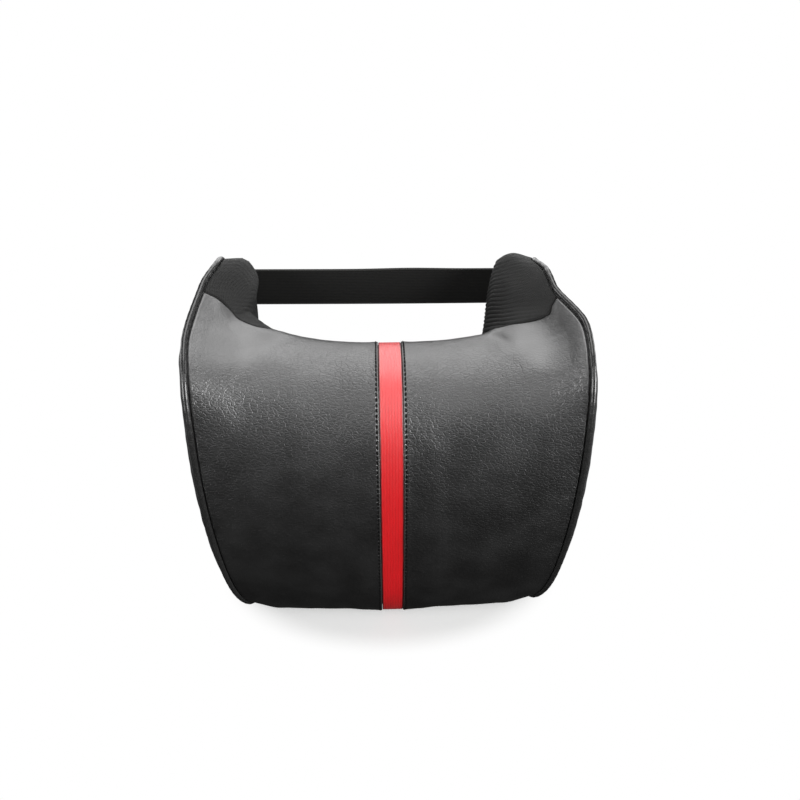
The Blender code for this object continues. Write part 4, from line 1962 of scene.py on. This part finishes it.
@dataclass(frozen=True)
class Lamp:
    """A broad soft lamp.

    Attributes:
        name: Its name.
        place: Where it is.
        target: Where it points.
        size: Its width and height.
        brightness: How bright its face is, where a white page in full light is 1.
    """

    name: str
    place: Triple
    target: Triple
    size: Span
    brightness: float

    def add(self) -> None:
        """Add the lamp to the scene."""
        data = bpy.data.lights.new(self.name, "AREA")
        data.shape = "RECTANGLE"
        data.size, data.size_y = self.size
        data.energy = self.brightness * math.pi * self.size[0] * self.size[1]
        lamp = bpy.data.objects.new(self.name, data)
        lamp.location = self.place
        aim = Vector(self.target) - Vector(self.place)
        lamp.rotation_euler = aim.to_track_quat("-Z", "Y").to_euler()
        bpy.context.scene.collection.objects.link(lamp)


@dataclass
class Studio:
    """The floor, the lamps, the world and the camera."""

    floor_radius: float = 14.0
    focal_px: float = 740.0
    frame_px: float = 800.0
    sensor: float = 36.0
    elevation: float = 31.5
    azimuth: float = 1.8
    anchor: Triple = (0.0, -0.078, 0.184)
    anchor_px: Span = (392.0, 446.0)
    anchor_depth: float = 0.485
    floor_shade: Triple = (0.014, 0.014, 0.014)
    floor_pale: Triple = (0.80, 0.80, 0.79)
    shadow_reach: Span = (0.115, 0.075)
    near_lift: float = 0.45
    mirrored_level: float = 0.25
    sky_level: float = 0.02
    lamps: tuple[Lamp, ...] = (
        Lamp("lamp_above", (0.05, 0.58, 1.25), (0.05, 0.58, 0.0), (0.80, 1.60), 2.45),
        Lamp("lamp_front", (0.0, -0.85, 1.30), (0.0, -0.05, 0.18), (1.3, 0.75), 1.05),
        Lamp("lamp_back", (0.0, 1.50, 0.70), (0.0, 0.0, 0.15), (1.6, 0.9), 2.2),
        Lamp("lamp_left", (-1.40, -0.85, 0.62), (0.0, -0.05, 0.15), (1.1, 1.0), 5.4),
        Lamp("lamp_right", (1.40, -0.85, 0.62), (0.0, -0.05, 0.15), (1.1, 1.0), 9.4),
        Lamp("lamp_rim_1", (-1.40, 0.60, 0.50), (0.0, 0.0, 0.15), (0.7, 0.9), 2.4),
        Lamp("lamp_rim_2", (1.40, 0.60, 0.50), (0.0, 0.0, 0.15), (0.7, 0.9), 2.4),
    )

    def build(self) -> None:
        """Build the whole studio."""
        self.floor()
        self.world()
        for lamp in self.lamps:
            lamp.add()
        self.camera()

    def floor(self) -> None:
        """A pale floor that keeps the pillow's shadow and fades to plain white."""
        mesh = bpy.data.meshes.new("studio_floor")
        work = bmesh.new()
        bmesh.ops.create_circle(work, cap_ends=True, radius=self.floor_radius, segments=96)
        work.to_mesh(mesh)
        work.free()
        floor = bpy.data.objects.new("studio_floor", mesh)
        floor.location = (0.0, 0.0, -0.0002)
        bpy.context.scene.collection.objects.link(floor)
        mesh.materials.append(self.floor_material())

    def floor_material(self) -> bpy.types.Material:
        """Pale to the eye, with the pillow's shadow close around it, and matt."""
        nodes = Nodes("studio_floor")
        path = nodes.add("LightPath")
        eye = path.outputs["Is Camera Ray"]
        place = nodes.object_place()
        away = nodes.add("VectorMath", {0: place}, operation="LENGTH").outputs["Value"]
        reach = (1 / self.shadow_reach[0], 1 / self.shadow_reach[1], 1.0)
        foot = nodes.add("VectorMath", {0: place, 1: reach}, operation="MULTIPLY").outputs[0]
        beyond = nodes.add("VectorMath", {0: foot}, operation="LENGTH").outputs["Value"]
        nodes.set(Base_Color=nodes.mixed(eye, self.floor_shade, self.floor_pale),
                  Roughness=0.9, Specular_IOR_Level=0.0)
        lift = nodes.spread(beyond, 0.95, 1.28, self.near_lift, 1.0)
        far = nodes.spread(away, 0.45, 1.60, 0.0, self.mirrored_level)
        mirrored = nodes.maths("MAXIMUM", path.outputs["Is Glossy Ray"],
                               path.outputs["Is Transmission Ray"])
        share = nodes.maths("MAXIMUM", nodes.maths("MULTIPLY", eye, lift),
                            nodes.maths("MULTIPLY", mirrored, far))
        glow = nodes.add("Emission", {"Strength": 1.0})
        mix = nodes.add("MixShader", {0: share})
        nodes.put(mix.inputs[1], nodes.shader.outputs[0])
        nodes.put(mix.inputs[2], glow.outputs[0])
        nodes.put(nodes.tree.nodes["Material Output"].inputs["Surface"], mix.outputs[0])
        return nodes.material

    def world(self) -> None:
        """A dim grey world that is white to the camera."""
        world = bpy.data.worlds.new("studio")
        bpy.context.scene.world = world
        world.use_nodes = True
        tree = world.node_tree
        sky = tree.nodes["Background"]
        path = tree.nodes.new("ShaderNodeLightPath")
        level = tree.nodes.new("ShaderNodeMapRange")
        level.inputs["To Min"].default_value = self.sky_level
        level.inputs["To Max"].default_value = 1.0
        sky.inputs["Color"].default_value = (1.0, 1.0, 1.0, 1.0)
        tree.links.new(path.outputs["Is Camera Ray"], level.inputs["Value"])
        tree.links.new(level.outputs["Result"], sky.inputs["Strength"])

    def camera(self) -> None:
        """The camera, at the photograph's angle and distance."""
        tilt, turn = math.radians(self.elevation), math.radians(self.azimuth)
        forward = Vector((math.sin(turn) * math.cos(tilt), math.cos(turn) * math.cos(tilt),
                          -math.sin(tilt)))
        right = Vector((math.cos(turn), -math.sin(turn), 0.0))
        up = right.cross(forward)
        scale = self.anchor_depth / self.focal_px
        aside = (self.anchor_px[0] - self.frame_px / 2) * scale
        above = (self.frame_px / 2 - self.anchor_px[1]) * scale
        data = bpy.data.cameras.new("camera")
        data.sensor_width = self.sensor
        data.lens = self.focal_px * self.sensor / self.frame_px
        data.clip_start = 0.01
        camera = bpy.data.objects.new("camera", data)
        place = Vector(self.anchor) - forward * self.anchor_depth - right * aside - up * above
        turned = Matrix((right, up, -forward)).transposed()
        camera.matrix_world = Matrix.Translation(place) @ turned.to_4x4()
        bpy.context.scene.collection.objects.link(camera)
        bpy.context.scene.camera = camera


def main() -> None:
    """Build every piece."""
    logging.basicConfig(level=logging.INFO, format="%(name)s %(message)s")
    bpy.context.scene.view_settings.view_transform = "Standard"
    form = PillowForm()
    Studio().build()
    FoamCore(form).build()
    CentreStripe(form).build()
    strap = ElasticStrap(form)
    BackPanel(form, strap).build()
    for side in Side:
        FrontPanel(form, side).build()
        Topstitch(form, side).build()
        SidePanel(form, side).build()
        Piping(form, side).build()
    strap.build()
    StrapStitching(strap).build()


if __name__ == "__main__":
    main()
